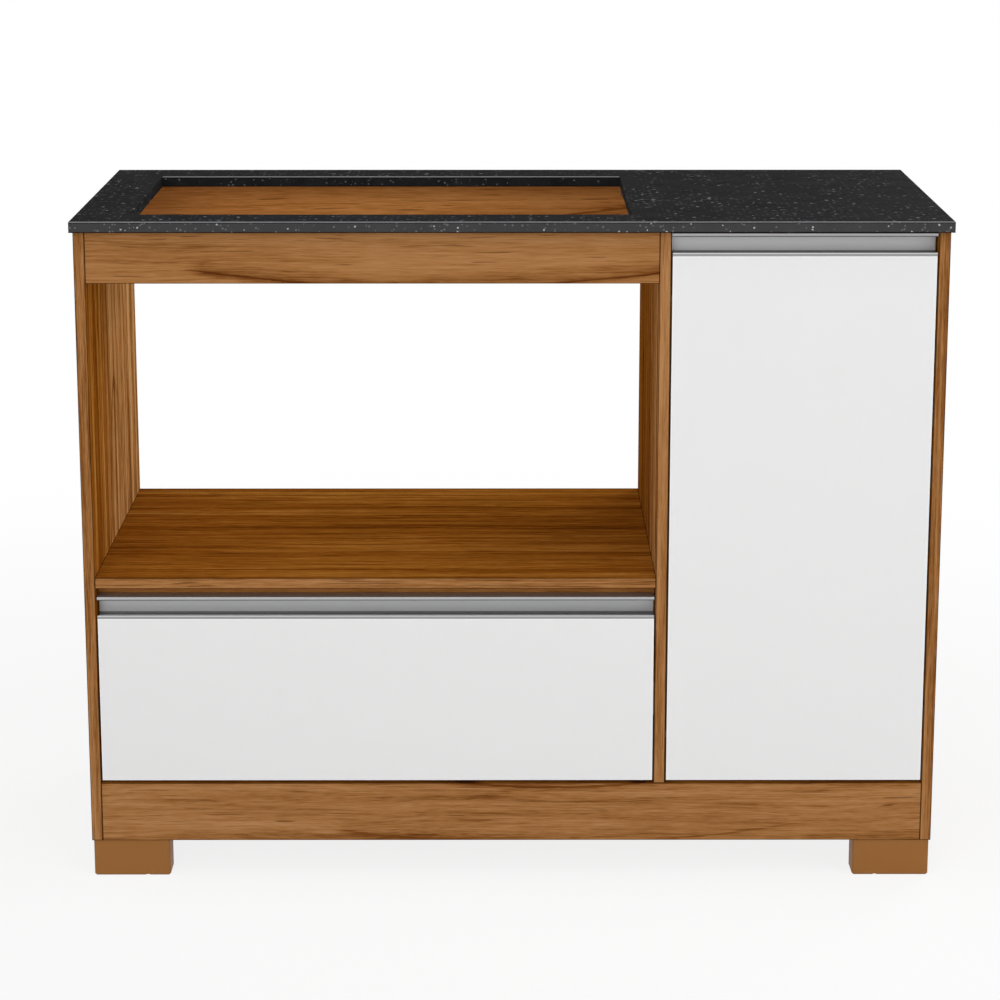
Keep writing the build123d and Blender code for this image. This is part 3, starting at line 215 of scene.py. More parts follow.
class FinishSheet(NodeSheet):
    """The node tree of one material."""

    def __init__(self, name: str) -> None:
        """Makes an empty material.

        Args:
            name: The material's name.
        """
        self.material = bpy.data.materials.new(name)
        self.material.use_nodes = True
        super().__init__(self.material.node_tree)

    def split(self, vector: Wire) -> tuple[Wire, Wire, Wire]:
        """Splits a vector into its parts along X, Y and Z."""
        parts = self.node("ShaderNodeSeparateXYZ", sockets={0: vector}).socket.node.outputs
        return Wire(self, parts[0]), Wire(self, parts[1]), Wire(self, parts[2])

    def place(self) -> tuple[Wire, Wire, Wire]:
        """Gives the place of each point of the surface, in metres."""
        return self.split(self.node("ShaderNodeTexCoord", out="Object"))

    def faces(self, *sides: int) -> Number:
        """Gives a mask of the faces that look along any of some directions.

        Args:
            *sides: Directions: 1, 2 and 3 for X, Y and Z, with a minus for the other way.

        Returns:
            1 on those faces and 0 elsewhere.
        """
        facing = self.split(self.node("ShaderNodeTexCoord", out="Normal"))
        mask: Number = 0.0
        for side in sides:
            part = facing[abs(side) - 1]
            here = (part > SQUARE_ON) if side > 0 else (part < -SQUARE_ON)
            mask = here if isinstance(mask, float) else mask | here
        return mask

    def edges(self, box: Box, width: float) -> Wire:
        """Gives a mask of a box's edges.

        Args:
            box: The box's lowest and highest corner.
            width: How far the mask reaches from each edge, in metres.

        Returns:
            1 along the edges and 0 elsewhere.
        """
        near: Number = 0.0
        for way, place in enumerate(self.place()):
            low, high = box[0][way], box[1][way]
            near = near + (abs(place - (low + high) / 2) > (high - low) / 2 - width)
        return near > 1.5

    def spot(self, at: Sequence[Wire], scale: Union[float, Triple], shift: float = 0.0) -> Wire:
        """Gives the spot at which a pattern is read.

        Args:
            at: The place on three axes, in metres.
            scale: How many units of the pattern a metre has, on all axes or on each.
            shift: How far the spot is moved along the first axis, in the pattern's units.

        Returns:
            The spot.
        """
        along, across, through = scale if isinstance(scale, tuple) else (scale, scale, scale)
        return self.vector(at[0] * along + shift, at[1] * across, at[2] * through)

    def noise(self, spot: Wire, detail: float = 2.0, rough: float = 0.5, bend: float = 0.0) -> Wire:
        """Adds soft clouds about 0.5, with finer layers, their strength and how far all is stirred."""
        values = {"Vector": spot, "Scale": 1.0, "Detail": detail, "Roughness": rough, "Distortion": bend}
        return self.node("ShaderNodeTexNoise", sockets=values)

    def cells(self, spot: Wire, out: str = "Distance") -> Wire:
        """Adds random cells, and gives the distance to a cell's middle or its random colour."""
        return self.node("ShaderNodeTexVoronoi", sockets={"Vector": spot, "Scale": 1.0}, out=out)

    def ramp(self, value: Wire, stops: Stops, soft: bool = False) -> Wire:
        """Turns a number into a colour.

        Args:
            value: The number.
            stops: The place and colour of each stop.
            soft: Whether the ramp eases between its stops.

        Returns:
            The ramp's colour.
        """
        wire = self.node("ShaderNodeValToRGB", {"stops": stops}, {"Fac": value})
        wire.socket.node.color_ramp.interpolation = "EASE" if soft else "LINEAR"
        return wire

    def level(self, value: Wire, levels: Levels, soft: bool = False) -> Wire:
        """Turns a number into another one, by the place and the number of each stop."""
        stops = [(place, (number, number, number, 1.0)) for place, number in levels]
        return self.split(self.ramp(value, stops, soft))[0]

    def mix(self, share: Number, first: Any, second: Any) -> Wire:
        """Mixes a share of a second colour into a first one."""
        return self.node("ShaderNodeMix", {"data_type": "RGBA"}, {0: share, 6: first, 7: second}, out=2)

    def bump(self, height: Wire, depth: float) -> Wire:
        """Turns a height from 0 to 1, with its full depth in metres, into a normal."""
        return self.node("ShaderNodeBump", sockets={"Strength": 1.0, "Distance": depth, "Height": height})

    def close(self, **values: Any) -> bpy.types.Material:
        """Ends the tree in a Principled shader.

        Args:
            **values: The shader's inputs, with an underscore for each space in their names.

        Returns:
            The finished material.
        """
        named = {name.replace("_", " "): value for name, value in values.items()}
        shader = self.node("ShaderNodeBsdfPrincipled", sockets=named)
        self.node("ShaderNodeOutputMaterial", sockets={"Surface": shader})
        return self.material


class Tone(Enum):
    """Print tones: outsides, painted light on rails in shade, sapwood, and painted shade on inner faces."""

    PALE = (shown(117, 69, 30), shown(152, 103, 57), shown(166, 116, 70), shown(179, 131, 86))
    # A lighter copy of the print: painted light on rails that sit in shade.
    LIT_RAIL = (shown(152, 92, 37), shown(197, 132, 69), shown(212, 147, 82), shown(226, 166, 102))
    SAP = (shown(100, 50, 12), shown(165, 108, 52), shown(200, 146, 88), shown(228, 180, 122))
    # A darker copy of the print: painted shade on the faces that look inwards.
    DEEP = (shown(82, 35, 5), shown(141, 81, 20), shown(161, 99, 31), shown(195, 136, 64))

    def stops(self) -> Stops:
        """Gives the tone's ramp, from the darkest streak to the lightest."""
        return list(zip((0.02, 0.38, 0.6, 0.95), self.value))


@dataclass(frozen=True)
class WoodPrint:
    """Wood-grain laminate on a board, with painted shade on its inner faces and the raw core on its hidden
    edges.

    Attributes:
        name: The material's name.
        box: The board's box.
        grain: The way that the grain runs.
        seed: Where the print is cut from the pattern.
        outside: The directions of the faces with the front's tone; the other faces get painted shade.
        raw: The directions of the faces on which the core shows.
        pith: The tree's middle, along the grain and across it, from the board's middle.
        taper: How fast the year rings close in along the grain.
        drawn: The stretch along the grain that has arcs.
        ring: The distance between year rings.
        ring_weight: How dark the arcs are.
        length: How far the streaks are drawn out.
        contrast: How strongly the streaks show.
        thread: How strongly the finest lines show.
        sap: Where the sapwood begins and where it is full, along Y.
        front: The tone of the outside faces.
        seam: The width of the dark line along the board's edges.
        dashes: How many short dark dashes there are, up to 0.5.
        dark: The colour of the dashes and of the arcs' lines.
        seam_dark: The colour of the line along the edges.
    """

    name: str
    box: Box
    grain: Way
    seed: float
    outside: tuple[int, ...] = (-2,)
    raw: tuple[int, ...] = ()
    pith: Triple = (-0.1, 0.0, 0.13)
    taper: float = 0.18
    drawn: tuple[float, float] = (-9.0, 9.0)
    ring: float = 0.08
    ring_weight: float = 0.5
    length: float = 1.0
    contrast: float = 1.0
    thread: float = 0.6
    sap: tuple[float, float] = (9.0, 10.0)
    front: Tone = Tone.PALE
    seam: float = 0.9 * MILLIMETRE
    dashes: float = 0.3
    dark: Colour = shown(70, 32, 8)
    seam_dark: Colour = shown(52, 26, 8)

    def _grain_frame(self, sheet: FinishSheet) -> tuple[Wire, Wire, Wire]:
        """Turns the place to the board's grain.

        Args:
            sheet: The tree to write to.

        Returns:
            The place along the grain and on the two axes across it, from the board's middle.
        """
        middle = (self.box[0] + self.box[1]) / 2
        parts = [place - centre for place, centre in zip(sheet.place(), middle)]
        turn = self.grain.value
        return parts[turn], parts[(turn + 1) % 3], parts[(turn + 2) % 3]

    def _core(self, sheet: FinishSheet, board: Sequence[Wire]) -> Wire:
        """Paints the pressed flakes of a board's core.

        Args:
            sheet: The tree to write to.
            board: The place along the grain and across it.

        Returns:
            The core's colour.
        """
        flakes = sheet.cells(sheet.spot(board, (420, 700, 700)), out="Color")
        dust = sheet.noise(sheet.spot(board, 1500), detail=1)
        stops = [(0.0, shown(118, 84, 52)), (0.5, shown(176, 138, 94)), (1.0, shown(204, 170, 124))]
        return sheet.mix(0.35, sheet.ramp(sheet.split(flakes)[0], stops), sheet.ramp(dust, stops))

    def _arcs(self, sheet: FinishSheet, board: Sequence[Wire]) -> Wire:
        """Draws the few dark arcs of a flat-sawn board.

        Args:
            sheet: The tree to write to.
            board: The place along the grain and across it.

        Returns:
            1 on an arc's dark line, fading away on its outer side.
        """
        along, across, through = board
        sway = (sheet.noise(sheet.spot(board, (2.2, 7, 7), self.seed)) - 0.5) * 0.02
        ragged = (sheet.noise(sheet.spot(board, (11, 300, 300), -self.seed)) - 0.5) * 0.06
        run = (along - self.pith[0]) * self.taper
        side = across - self.pith[1] + sway
        back = through - self.pith[2] + sway
        reach = (run * run + side * side + back * back).root() / self.ring
        line = [(0.0, 0.5), (0.08, 0.0), (0.75, 0.0), (0.96, 0.35), (0.98, 1.0)]
        arc = sheet.level((reach + ragged).fraction(), line)
        patch = sheet.noise(sheet.spot(board, (2.3, 9, 9), self.seed * 2), detail=1)
        begun = sheet.level((along - self.drawn[0]) * 40, RISE)
        ended = sheet.level((self.drawn[1] - along) * 8, RISE)
        return arc * begun * ended * sheet.level(patch, [(0.4, 0.5), (0.58, 1.0)])

    def material(self) -> bpy.types.Material:
        """Makes the board's material.

        Returns:
            The material.
        """
        sheet = FinishSheet(self.name)
        board = self._grain_frame(sheet)
        drift = sheet.noise(sheet.spot(board, (3, 11, 11), self.seed), detail=1) * 0.014
        waved = (board[0], board[1] + drift, board[2] + drift)
        drawn_out = (board[0] / self.length, waved[1], waved[2])
        band = sheet.noise(sheet.spot(drawn_out, (1.6, 48, 48), self.seed), detail=3, rough=0.6)
        streak = sheet.noise(sheet.spot(drawn_out, (7, 300, 300), self.seed), detail=4, rough=0.72)
        dash = sheet.noise(sheet.spot(drawn_out, (13, 420, 420), -self.seed), detail=1)
        thread = sheet.noise(sheet.spot(waved, (26, 560, 560), self.seed), detail=1)
        hair = sheet.noise(sheet.spot(waved, (60, 1100, 1100), -self.seed))
        arcs = self._arcs(sheet, board)
        swing = (band - 0.5) * 0.95 + (streak - 0.5) + (hair - 0.5) * 0.45
        shade = swing * self.contrast + (thread - 0.5) * self.thread + 0.5 - arcs * self.ring_weight
        # Inner faces take a darker copy of the print as painted shade, with sapwood taking over along Y.
        shaded, sap, front = (sheet.ramp(shade, tone.stops()) for tone in (Tone.DEEP, Tone.SAP, self.front))
        first, last = self.sap
        zone = (sheet.place()[1] - first) / (last - first) + (band - 0.5) * 1.1
        inner = sheet.mix(sheet.level(zone, RISE, soft=True), shaded, sap)
        # Outward faces keep the front's tone; the inner faces keep the painted shade.
        tone = sheet.mix(sheet.faces(*self.outside), inner, front)
        dash_line = sheet.level(dash, [(self.dashes - 0.03, 1.0), (self.dashes + 0.03, 0.0)])
        arc_line = sheet.level(arcs, [(0.72, 0.0), (0.92, 1.0)]) * self.ring_weight
        lined = sheet.mix(dash_line * 0.55 | arc_line * 0.62, tone, self.dark)
        colour = sheet.mix(sheet.edges(self.box, self.seam) * 0.85, lined, self.seam_dark)
        if self.raw:
            colour = sheet.mix(sheet.faces(*self.raw), colour, self._core(sheet, board))
        rough = 0.62 + (hair - 0.5) * 0.2 + (streak - 0.5) * 0.1
        normal = sheet.bump(hair * 0.6 + streak * 0.4, 0.06 * MILLIMETRE)
        return sheet.close(Base_Color=colour, Roughness=rough, Normal=normal, Specular_IOR_Level=0.0)


@dataclass(frozen=True)
class StonePrint:
    """Dark laminate with a print of speckled stone, on the worktop, with painted light, shade and highlight
    on its front.
    """

    box: Box
    name: str = "speckled_stone_print"
    seed: float = 3.7
    arris: float = 1.2 * MILLIMETRE
    lying: float = 0.42
    upright: float = 0.92

    def _specks(self, sheet: FinishSheet, per_metre: float, reach: float, empty: float) -> Wire:
        """Scatters light specks, which are longer on the top than on the upright faces.

        Args:
            sheet: The tree to write to.
            per_metre: How many cells a metre has.
            reach: How large a speck may be, as a share of its cell.
            empty: The share of the cells that stay empty.

        Returns:
            1 on a speck and 0 elsewhere.
        """
        x, y, z = place = sheet.place()
        stretch = self.lying + sheet.faces(2, -2) * (self.upright - self.lying)
        spot = sheet.spot((x * stretch, y, z), per_metre, self.seed)
        chance, size, _ = sheet.split(sheet.cells(spot, out="Color"))
        wobble = sheet.noise(sheet.spot(place, per_metre * 3), detail=1)
        distance = sheet.cells(spot) + (wobble - 0.5) * 0.35
        herd = sheet.noise(sheet.spot(place, (14, 9, 9), self.seed))
        return (chance > empty + (0.5 - herd) * 1.2) * (distance < size * reach)

    def material(self) -> bpy.types.Material:
        """Makes the worktop's material.

        Returns:
            The material.
        """
        sheet = FinishSheet(self.name)
        low, high = self.box
        _, y, z = place = sheet.place()
        cloud = sheet.noise(sheet.spot(place, 22), detail=5, rough=0.7)
        grains = sheet.noise(sheet.spot(place, 700))
        black = [(0.35, shown(20, 20, 21)), (0.62, shown(38, 38, 39))]
        small = self._specks(sheet, 330, 0.5, 0.72)
        large = self._specks(sheet, 210, 0.26, 0.82)
        ground = sheet.ramp(cloud * 0.6 + grains * 0.4, black)
        colour = sheet.mix(small * 0.42, ground, shown(128, 128, 130))
        colour = sheet.mix(large * 0.9, colour, shown(182, 182, 184))
        front = sheet.faces(-2)
        # Painted light: the front face is a little lighter than the top.
        colour = sheet.mix(front * (y < low.y + self.arris) * 0.14, colour, shown(150, 148, 148))
        # Painted shade: dark lines below the top arris and along the bottom of the front face.
        under = front * (z < high.z - self.arris) * (z > high.z - self.arris * 2)
        below = front * (z < low.z + self.arris)
        colour = sheet.mix(under * 0.8 | below * 0.9, colour, shown(12, 12, 12))
        # Painted highlight along the top arris of the front face.
        colour = sheet.mix(front * (z > high.z - self.arris) * 0.6, colour, shown(180, 181, 184))
        colour = sheet.mix(sheet.faces(-3), colour, shown(96, 78, 60))
        rough = 0.6 + grains * 0.16 + small * 0.1
        normal = sheet.bump(grains, 0.05 * MILLIMETRE)
        return sheet.close(Base_Color=colour, Roughness=rough, Normal=normal, Specular_IOR_Level=0.005)


@dataclass(frozen=True)
class Lacquer:
    """White lacquer on a board: even, with a faint orange peel and a painted highlight along its edges."""

    name: str
    colour: Colour
    rough: float = 0.32
    box: Optional[Box] = None
    edge: float = 1.4 * MILLIMETRE

    def material(self) -> bpy.types.Material:
        """Makes the lacquer.

        Returns:
            The material.
        """
        sheet = FinishSheet(self.name)
        place = sheet.place()
        peel = sheet.noise(sheet.spot(place, 260), rough=0.6)
        drift = sheet.noise(sheet.spot(place, 3), detail=3)
        colour = sheet.mix((drift - 0.5) * 0.12, self.colour, shown(206, 207, 209))
        if self.box:
            # Painted highlight: a thin bright line along the board's edges.
            colour = sheet.mix(sheet.edges(self.box, self.edge) * 0.8, colour, shown(252, 252, 252))
        rough = self.rough + (drift - 0.5) * 0.06 + peel * 0.03
        normal = sheet.bump(peel, 0.04 * MILLIMETRE)
        return sheet.close(Base_Color=colour, Roughness=rough, Normal=normal, Specular_IOR_Level=0.3)


@dataclass(frozen=True)
class DrawnMetal:
    """Metal with fine lines from its rolling or drawing along one axis."""

    name: str
    colour: Colour
    rough: float
    lines: Way
    mottle: float = 0.0
    cap: Optional[Colour] = None

    def material(self) -> bpy.types.Material:
        """Makes the metal.

        Returns:
            The material.
        """
        sheet = FinishSheet(self.name)
        place = sheet.place()
        fineness = tuple(12 if way is self.lines else 2600 for way in Way)
        hair = sheet.noise(sheet.spot(place, fineness), detail=3, rough=0.7)
        flowers = sheet.noise(sheet.spot(place, 240), detail=3, rough=0.6)
        darker = dimmed(self.colour, 0.72)
        colour = sheet.mix((hair - 0.35) * 0.6, self.colour, darker)
        colour = sheet.mix((flowers - 0.4) * self.mottle, colour, darker)
        rough = self.rough + (hair - 0.5) * 0.18 + (flowers - 0.5) * self.mottle * 0.3
        metallic: Number = 1.0
        if self.cap:
            capped = sheet.faces(-2)
            colour = sheet.mix(capped, colour, self.cap)
            metallic = 1.0 - capped
        normal = sheet.bump(hair, 0.02 * MILLIMETRE)
        return sheet.close(Base_Color=colour, Metallic=metallic, Roughness=rough, Normal=normal)


@dataclass(frozen=True)
class ChannelMetal:
    """Matt anodised aluminium of a channel handle, with painted shade in its channel and under its lip, and
    a painted highlight.
    """

    name: str
    colour: Colour
    box: Box
    wall: float = 1.8 * MILLIMETRE
    lip: float = 4.6 * MILLIMETRE
    line: float = 1.3 * MILLIMETRE
    crease: float = 2.8 * MILLIMETRE
    rough: float = 0.46

    def material(self) -> bpy.types.Material:
        """Makes the aluminium.

        Returns:
            The material.
        """
        sheet = FinishSheet(self.name)
        low, high = self.box
        _, y, z = place = sheet.place()
        hair = sheet.noise(sheet.spot(place, (30, 2400, 2400)), detail=3, rough=0.7)
        front = sheet.faces(-2)
        inside = y > low.y + self.wall
        outside = front * (y < low.y + self.wall)
        # Painted shade: the channel's floor near the web, the crease at the web's foot, a line under the top
        # lip, the lower lip.
        floor = inside * sheet.faces(3) * (z < (low.z + high.z) / 2) * (y > high.y - self.crease * 2)
        web = inside * front * (z < low.z + self.wall + self.crease)
        lower = outside * (z < low.z + self.lip)
        crest = lower * (z > low.z + self.lip - self.line)
        shadow = outside * (z > high.z - self.lip) * (z < high.z - self.lip + self.line)
        painted_shade = (floor + web) * 0.75 + shadow * 0.95 + (lower - crest) * 0.35
        # This dark colour serves both the fine lines and the painted shade.
        dark = dimmed(self.colour, 0.16)
        colour = sheet.mix(painted_shade, sheet.mix(hair * 0.14, self.colour, dark), dark)
        # Painted highlight along the lower lip's top edge.
        colour = sheet.mix(crest * 0.4, colour, shown(236, 236, 238))
        rough = self.rough + (hair - 0.5) * 0.16
        normal = sheet.bump(hair, 0.004 * MILLIMETRE)
        return sheet.close(Base_Color=colour, Metallic=0.85, Roughness=rough, Normal=normal)


@dataclass(frozen=True)
class Moulded:
    """Plain moulded plastic or rubber, with a fine matt texture."""

    name: str
    colour: Colour
    rough: float

    def material(self) -> bpy.types.Material:
        """Makes the plastic.

        Returns:
            The material.
        """
        sheet = FinishSheet(self.name)
        place = sheet.place()
        skin = sheet.noise(sheet.spot(place, 900))
        flow = sheet.noise(sheet.spot(place, (14, 14, 30)), detail=3)
        colour = sheet.mix(flow * 0.35 + (skin - 0.5) * 0.5, self.colour, dimmed(self.colour, 0.78))
        rough = self.rough + (flow - 0.5) * 0.12 + (skin - 0.5) * 0.1
        normal = sheet.bump(skin, 0.05 * MILLIMETRE)
        return sheet.close(Base_Color=colour, Roughness=rough, Normal=normal, Specular_IOR_Level=0.15)


@dataclass(frozen=True)
class Fibre:
    """Pressed or turned wood with no print: fibreboard and beech."""

    name: str
    low: Colour
    high: Colour
    strands: Triple
    rough: float

    def material(self) -> bpy.types.Material:
        """Makes the bare wood.

        Returns:
            The material.
        """
        sheet = FinishSheet(self.name)
        place = sheet.place()
        strand = sheet.noise(sheet.spot(place, self.strands), detail=4, rough=0.7, bend=0.4)
        cloud = sheet.noise(sheet.spot(place, 9), detail=3)
        colour = sheet.ramp(strand * 0.65 + cloud * 0.35, [(0.3, self.low), (0.7, self.high)])
        normal = sheet.bump(strand, 0.08 * MILLIMETRE)
        return sheet.close(Base_Color=colour, Roughness=self.rough + (strand - 0.5) * 0.15, Normal=normal)


class NodeBrush:
    """Puts finishes on the cabinet's own pieces."""

    @staticmethod
    def paint(names: Sequence[str], material: bpy.types.Material) -> None:
        """Gives pieces their finish.

        Args:
            names: The pieces' names.
            material: The finish.
        """
        for name in names:
            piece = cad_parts[name]
            if not piece.material_slots:
                piece.data.materials.append(material)
            for slot in piece.material_slots:
                slot.material = material
            log.info("%s: %s", name, material.name)


@dataclass
class Carcass:
    """The printed boards: sides, divider, shelves, rails and plinth."""

    uprights: tuple[str, ...] = ("side_panel_left", "side_panel_right", "divider_panel")
    shelves: tuple[str, ...] = ("niche_shelf", "cupboard_shelf", "base_panel")
    rails: tuple[str, ...] = (
        "recessed_rail", "front_top_rail", "rear_top_rail", "front_stretcher", "rear_stretcher",
        "plinth_front", "plinth_rear",
    )
    # Hidden boards have no outside faces, so all their faces take the painted-shade tone.
    hidden: tuple[str, ...] = (
        "base_panel", "front_stretcher", "rear_stretcher", "plinth_rear", "plinth_cross_rail",
    )
    own_looks: dict[str, dict[str, Any]] = field(
        default_factory=lambda: {
            "side_panel_left": {"outside": (-2, -1), "sap": (-0.13, 0.03), "pith": (-0.35, 0.16, 0.0)},
            "side_panel_right": {"outside": (-2, 1), "pith": (-0.3, 0.12, 0.0)},
            "divider_panel": {"sap": (0.02, -0.18)},
            # These two rails sit in shade; their front faces get the painted-light tone.
            "recessed_rail": {"front": Tone.LIT_RAIL},
            "rear_top_rail": {"front": Tone.LIT_RAIL},
            "front_top_rail": {"pith": (0.085, 0.0, 0.121), "taper": 0.235, "drawn": (-0.25, 9.0)},
            "plinth_front": {"pith": (0.05, 0.0, 0.113), "taper": 0.265, "drawn": (-0.245, 0.42)},
        }
    )
    plinth_contrast: float = 1.5

    def _board(self, name: str, grain: Way, seed: float, raw: tuple[int, ...], **looks: Any) -> None:
        """Dresses one board.

        Args:
            name: The board's name.
            grain: The way its grain runs.
            seed: Where its print is cut from the pattern.
            raw: The directions in which its core shows.
            **looks: Other values of its print, unless it has its own.
        """
        if name in self.hidden:
            looks["outside"] = ()
        looks.update(self.own_looks.get(name, {}))
        print_ = WoodPrint(f"{name}_print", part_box(name), grain, seed, raw=raw, **looks)
        NodeBrush.paint([name], print_.material())

    def dress(self) -> None:
        """Dresses all the printed boards."""
        looks = {"ring": 0.045, "ring_weight": 0.3, "length": 1.9, "contrast": 1.8, "dashes": 0.33}
        for count, name in enumerate(self.uprights):
            self._board(name, Way.UP, 2.3 + 5.1 * count, (2, 3, -3), **looks)
        looks = {"ring_weight": 0.15, "length": 2.2, "contrast": 1.4, "dashes": 0.36}
        for count, name in enumerate(self.shelves):
            self._board(name, Way.ACROSS, 4.4 + 3.7 * count, (2, 1, -1), **looks)
        for count, name in enumerate(self.rails):
            contrast = self.plinth_contrast if name == "plinth_front" else 1.0
            self._board(name, Way.ACROSS, 1.9 + 6.3 * count, (1, -1), ring_weight=1.0, contrast=contrast)
        self._board("plinth_cross_rail", Way.DEEP, 8.8, (1, -1))


@dataclass
class Worktop:
    """The worktop with its cooktop cut-out."""

    node: str = "worktop"

    def dress(self) -> None:
        """Dresses the worktop."""
        NodeBrush.paint([self.node], StonePrint(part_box(self.node)).material())


@dataclass
class Fronts:
    """The drawer front, the door and their channel handles."""

    boards: tuple[str, ...] = ("drawer_front", "door_panel")
    handles: tuple[str, ...] = ("drawer_handle", "door_handle")
    white: Colour = shown(235, 235, 235)
    metal: Colour = shown(180, 180, 181)

    def dress(self) -> None:
        """Dresses the fronts and their handles."""
        for name in self.boards:
            NodeBrush.paint([name], Lacquer(f"{name}_lacquer", self.white, box=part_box(name)).material())
        for name in self.handles:
            NodeBrush.paint([name], ChannelMetal(f"{name}_aluminium", self.metal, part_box(name)).material())


@dataclass
class DrawerBox:
    """The drawer's box on its slides."""

    sides: tuple[str, ...] = ("drawer_side_left", "drawer_side_right")
    ends: tuple[str, ...] = ("drawer_box_front", "drawer_box_back")
    slides: tuple[str, ...] = ("slide_outer_members", "slide_middle_members", "slide_inner_members")
    cages: tuple[str, ...] = ("slide_outer_cages", "slide_inner_cages")
    balls: tuple[str, ...] = ("slide_outer_balls", "slide_inner_balls")

    def dress(self) -> None:
        """Dresses the box, the slides, the cages and the balls."""
        for names, finish in (
            (self.sides + self.ends, Lacquer("drawer_board_white", shown(214, 212, 206), 0.5)),
            (self.slides, DrawnMetal("slide_zinc", shown(182, 185, 190), 0.34, Way.DEEP, mottle=0.5)),
            (self.cages, DrawnMetal("cage_strip", shown(150, 150, 152), 0.4, Way.DEEP)),
            (self.balls, DrawnMetal("ball_steel", shown(205, 206, 210), 0.12, Way.UP)),
        ):
            NodeBrush.paint(names, finish.material())


@dataclass
class BackPanels:
    """The thin fibreboard panels at the back and under the drawer."""

    nodes: tuple[str, ...] = ("back_panel_drawer_bay", "back_panel_door_bay", "drawer_bottom")

    def dress(self) -> None:
        """Dresses the thin panels."""
        board = Fibre("fibreboard", shown(134, 98, 62), shown(170, 132, 92), (160, 160, 240), 0.62)
        NodeBrush.paint(self.nodes, board.material())


@dataclass
class Feet:
    """The four plain feet."""

    nodes: tuple[str, ...] = ("foot_front_left", "foot_front_right", "foot_rear_left", "foot_rear_right")

    def dress(self) -> None:
        """Dresses the feet."""
        NodeBrush.paint(self.nodes, Moulded("foot_brown", shown(154, 103, 52), 0.48).material())


@dataclass(frozen=True)
class Site:
    """The place of one small piece: its outer end, the way it points and its size."""

    head: Vector
    out: Vector
    length: float
    radius: float


class LooseParts:
    """Finds where a piece's separate solids lie."""

    same_point = 0.001 * MILLIMETRE
    end_depth = 0.3 * MILLIMETRE

    @classmethod
    def _islands(cls, name: str) -> list[list[Vector]]:
        """Splits a piece into its separate solids.

        Args:
            name: The piece's name.

        Returns:
            The corner points of each solid.
        """
        copy = bmesh.new()
        copy.from_mesh(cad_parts[name].data)
        bmesh.ops.remove_doubles(copy, verts=copy.verts, dist=cls.same_point)
        left = set(copy.verts)
        islands = []
        while left:
            stack = [left.pop()]
            island = []
            while stack:
                vert = stack.pop()
                island.append(vert.co.copy())
                for edge in vert.link_edges:
                    other = edge.other_vert(vert)
                    if other in left:
                        left.remove(other)
                        stack.append(other)
            islands.append(island)
        copy.free()
        return islands

    @classmethod
    def sites(cls, name: str) -> list[Site]:
        """Measures each solid of a piece that is made of turned solids.

        Args:
            name: The piece's name.

        Returns:
            One site for each solid, with its wide end as the head.
        """
        found = []
        for island in cls._islands(name):
            low = Vector([min(point[axis] for point in island) for axis in range(3)])
            high = Vector([max(point[axis] for point in island) for axis in range(3)])
            axis = max(range(3), key=lambda way: high[way] - low[way])
            head = (low + high) / 2
            widest = {high[axis]: 0.0, low[axis]: 0.0}
            for end in widest:
                for point in island:
                    if abs(point[axis] - end) < cls.end_depth:
                        out = point - head
                        out[axis] = 0.0
                        widest[end] = max(widest[end], out.length)
            head[axis] = max(widest, key=widest.get)
            out = Vector()
            out[axis] = 1.0 if head[axis] == high[axis] else -1.0
            found.append(Site(head, out, high[axis] - low[axis], max(widest.values())))
        return sorted(found, key=lambda site: tuple(site.head))


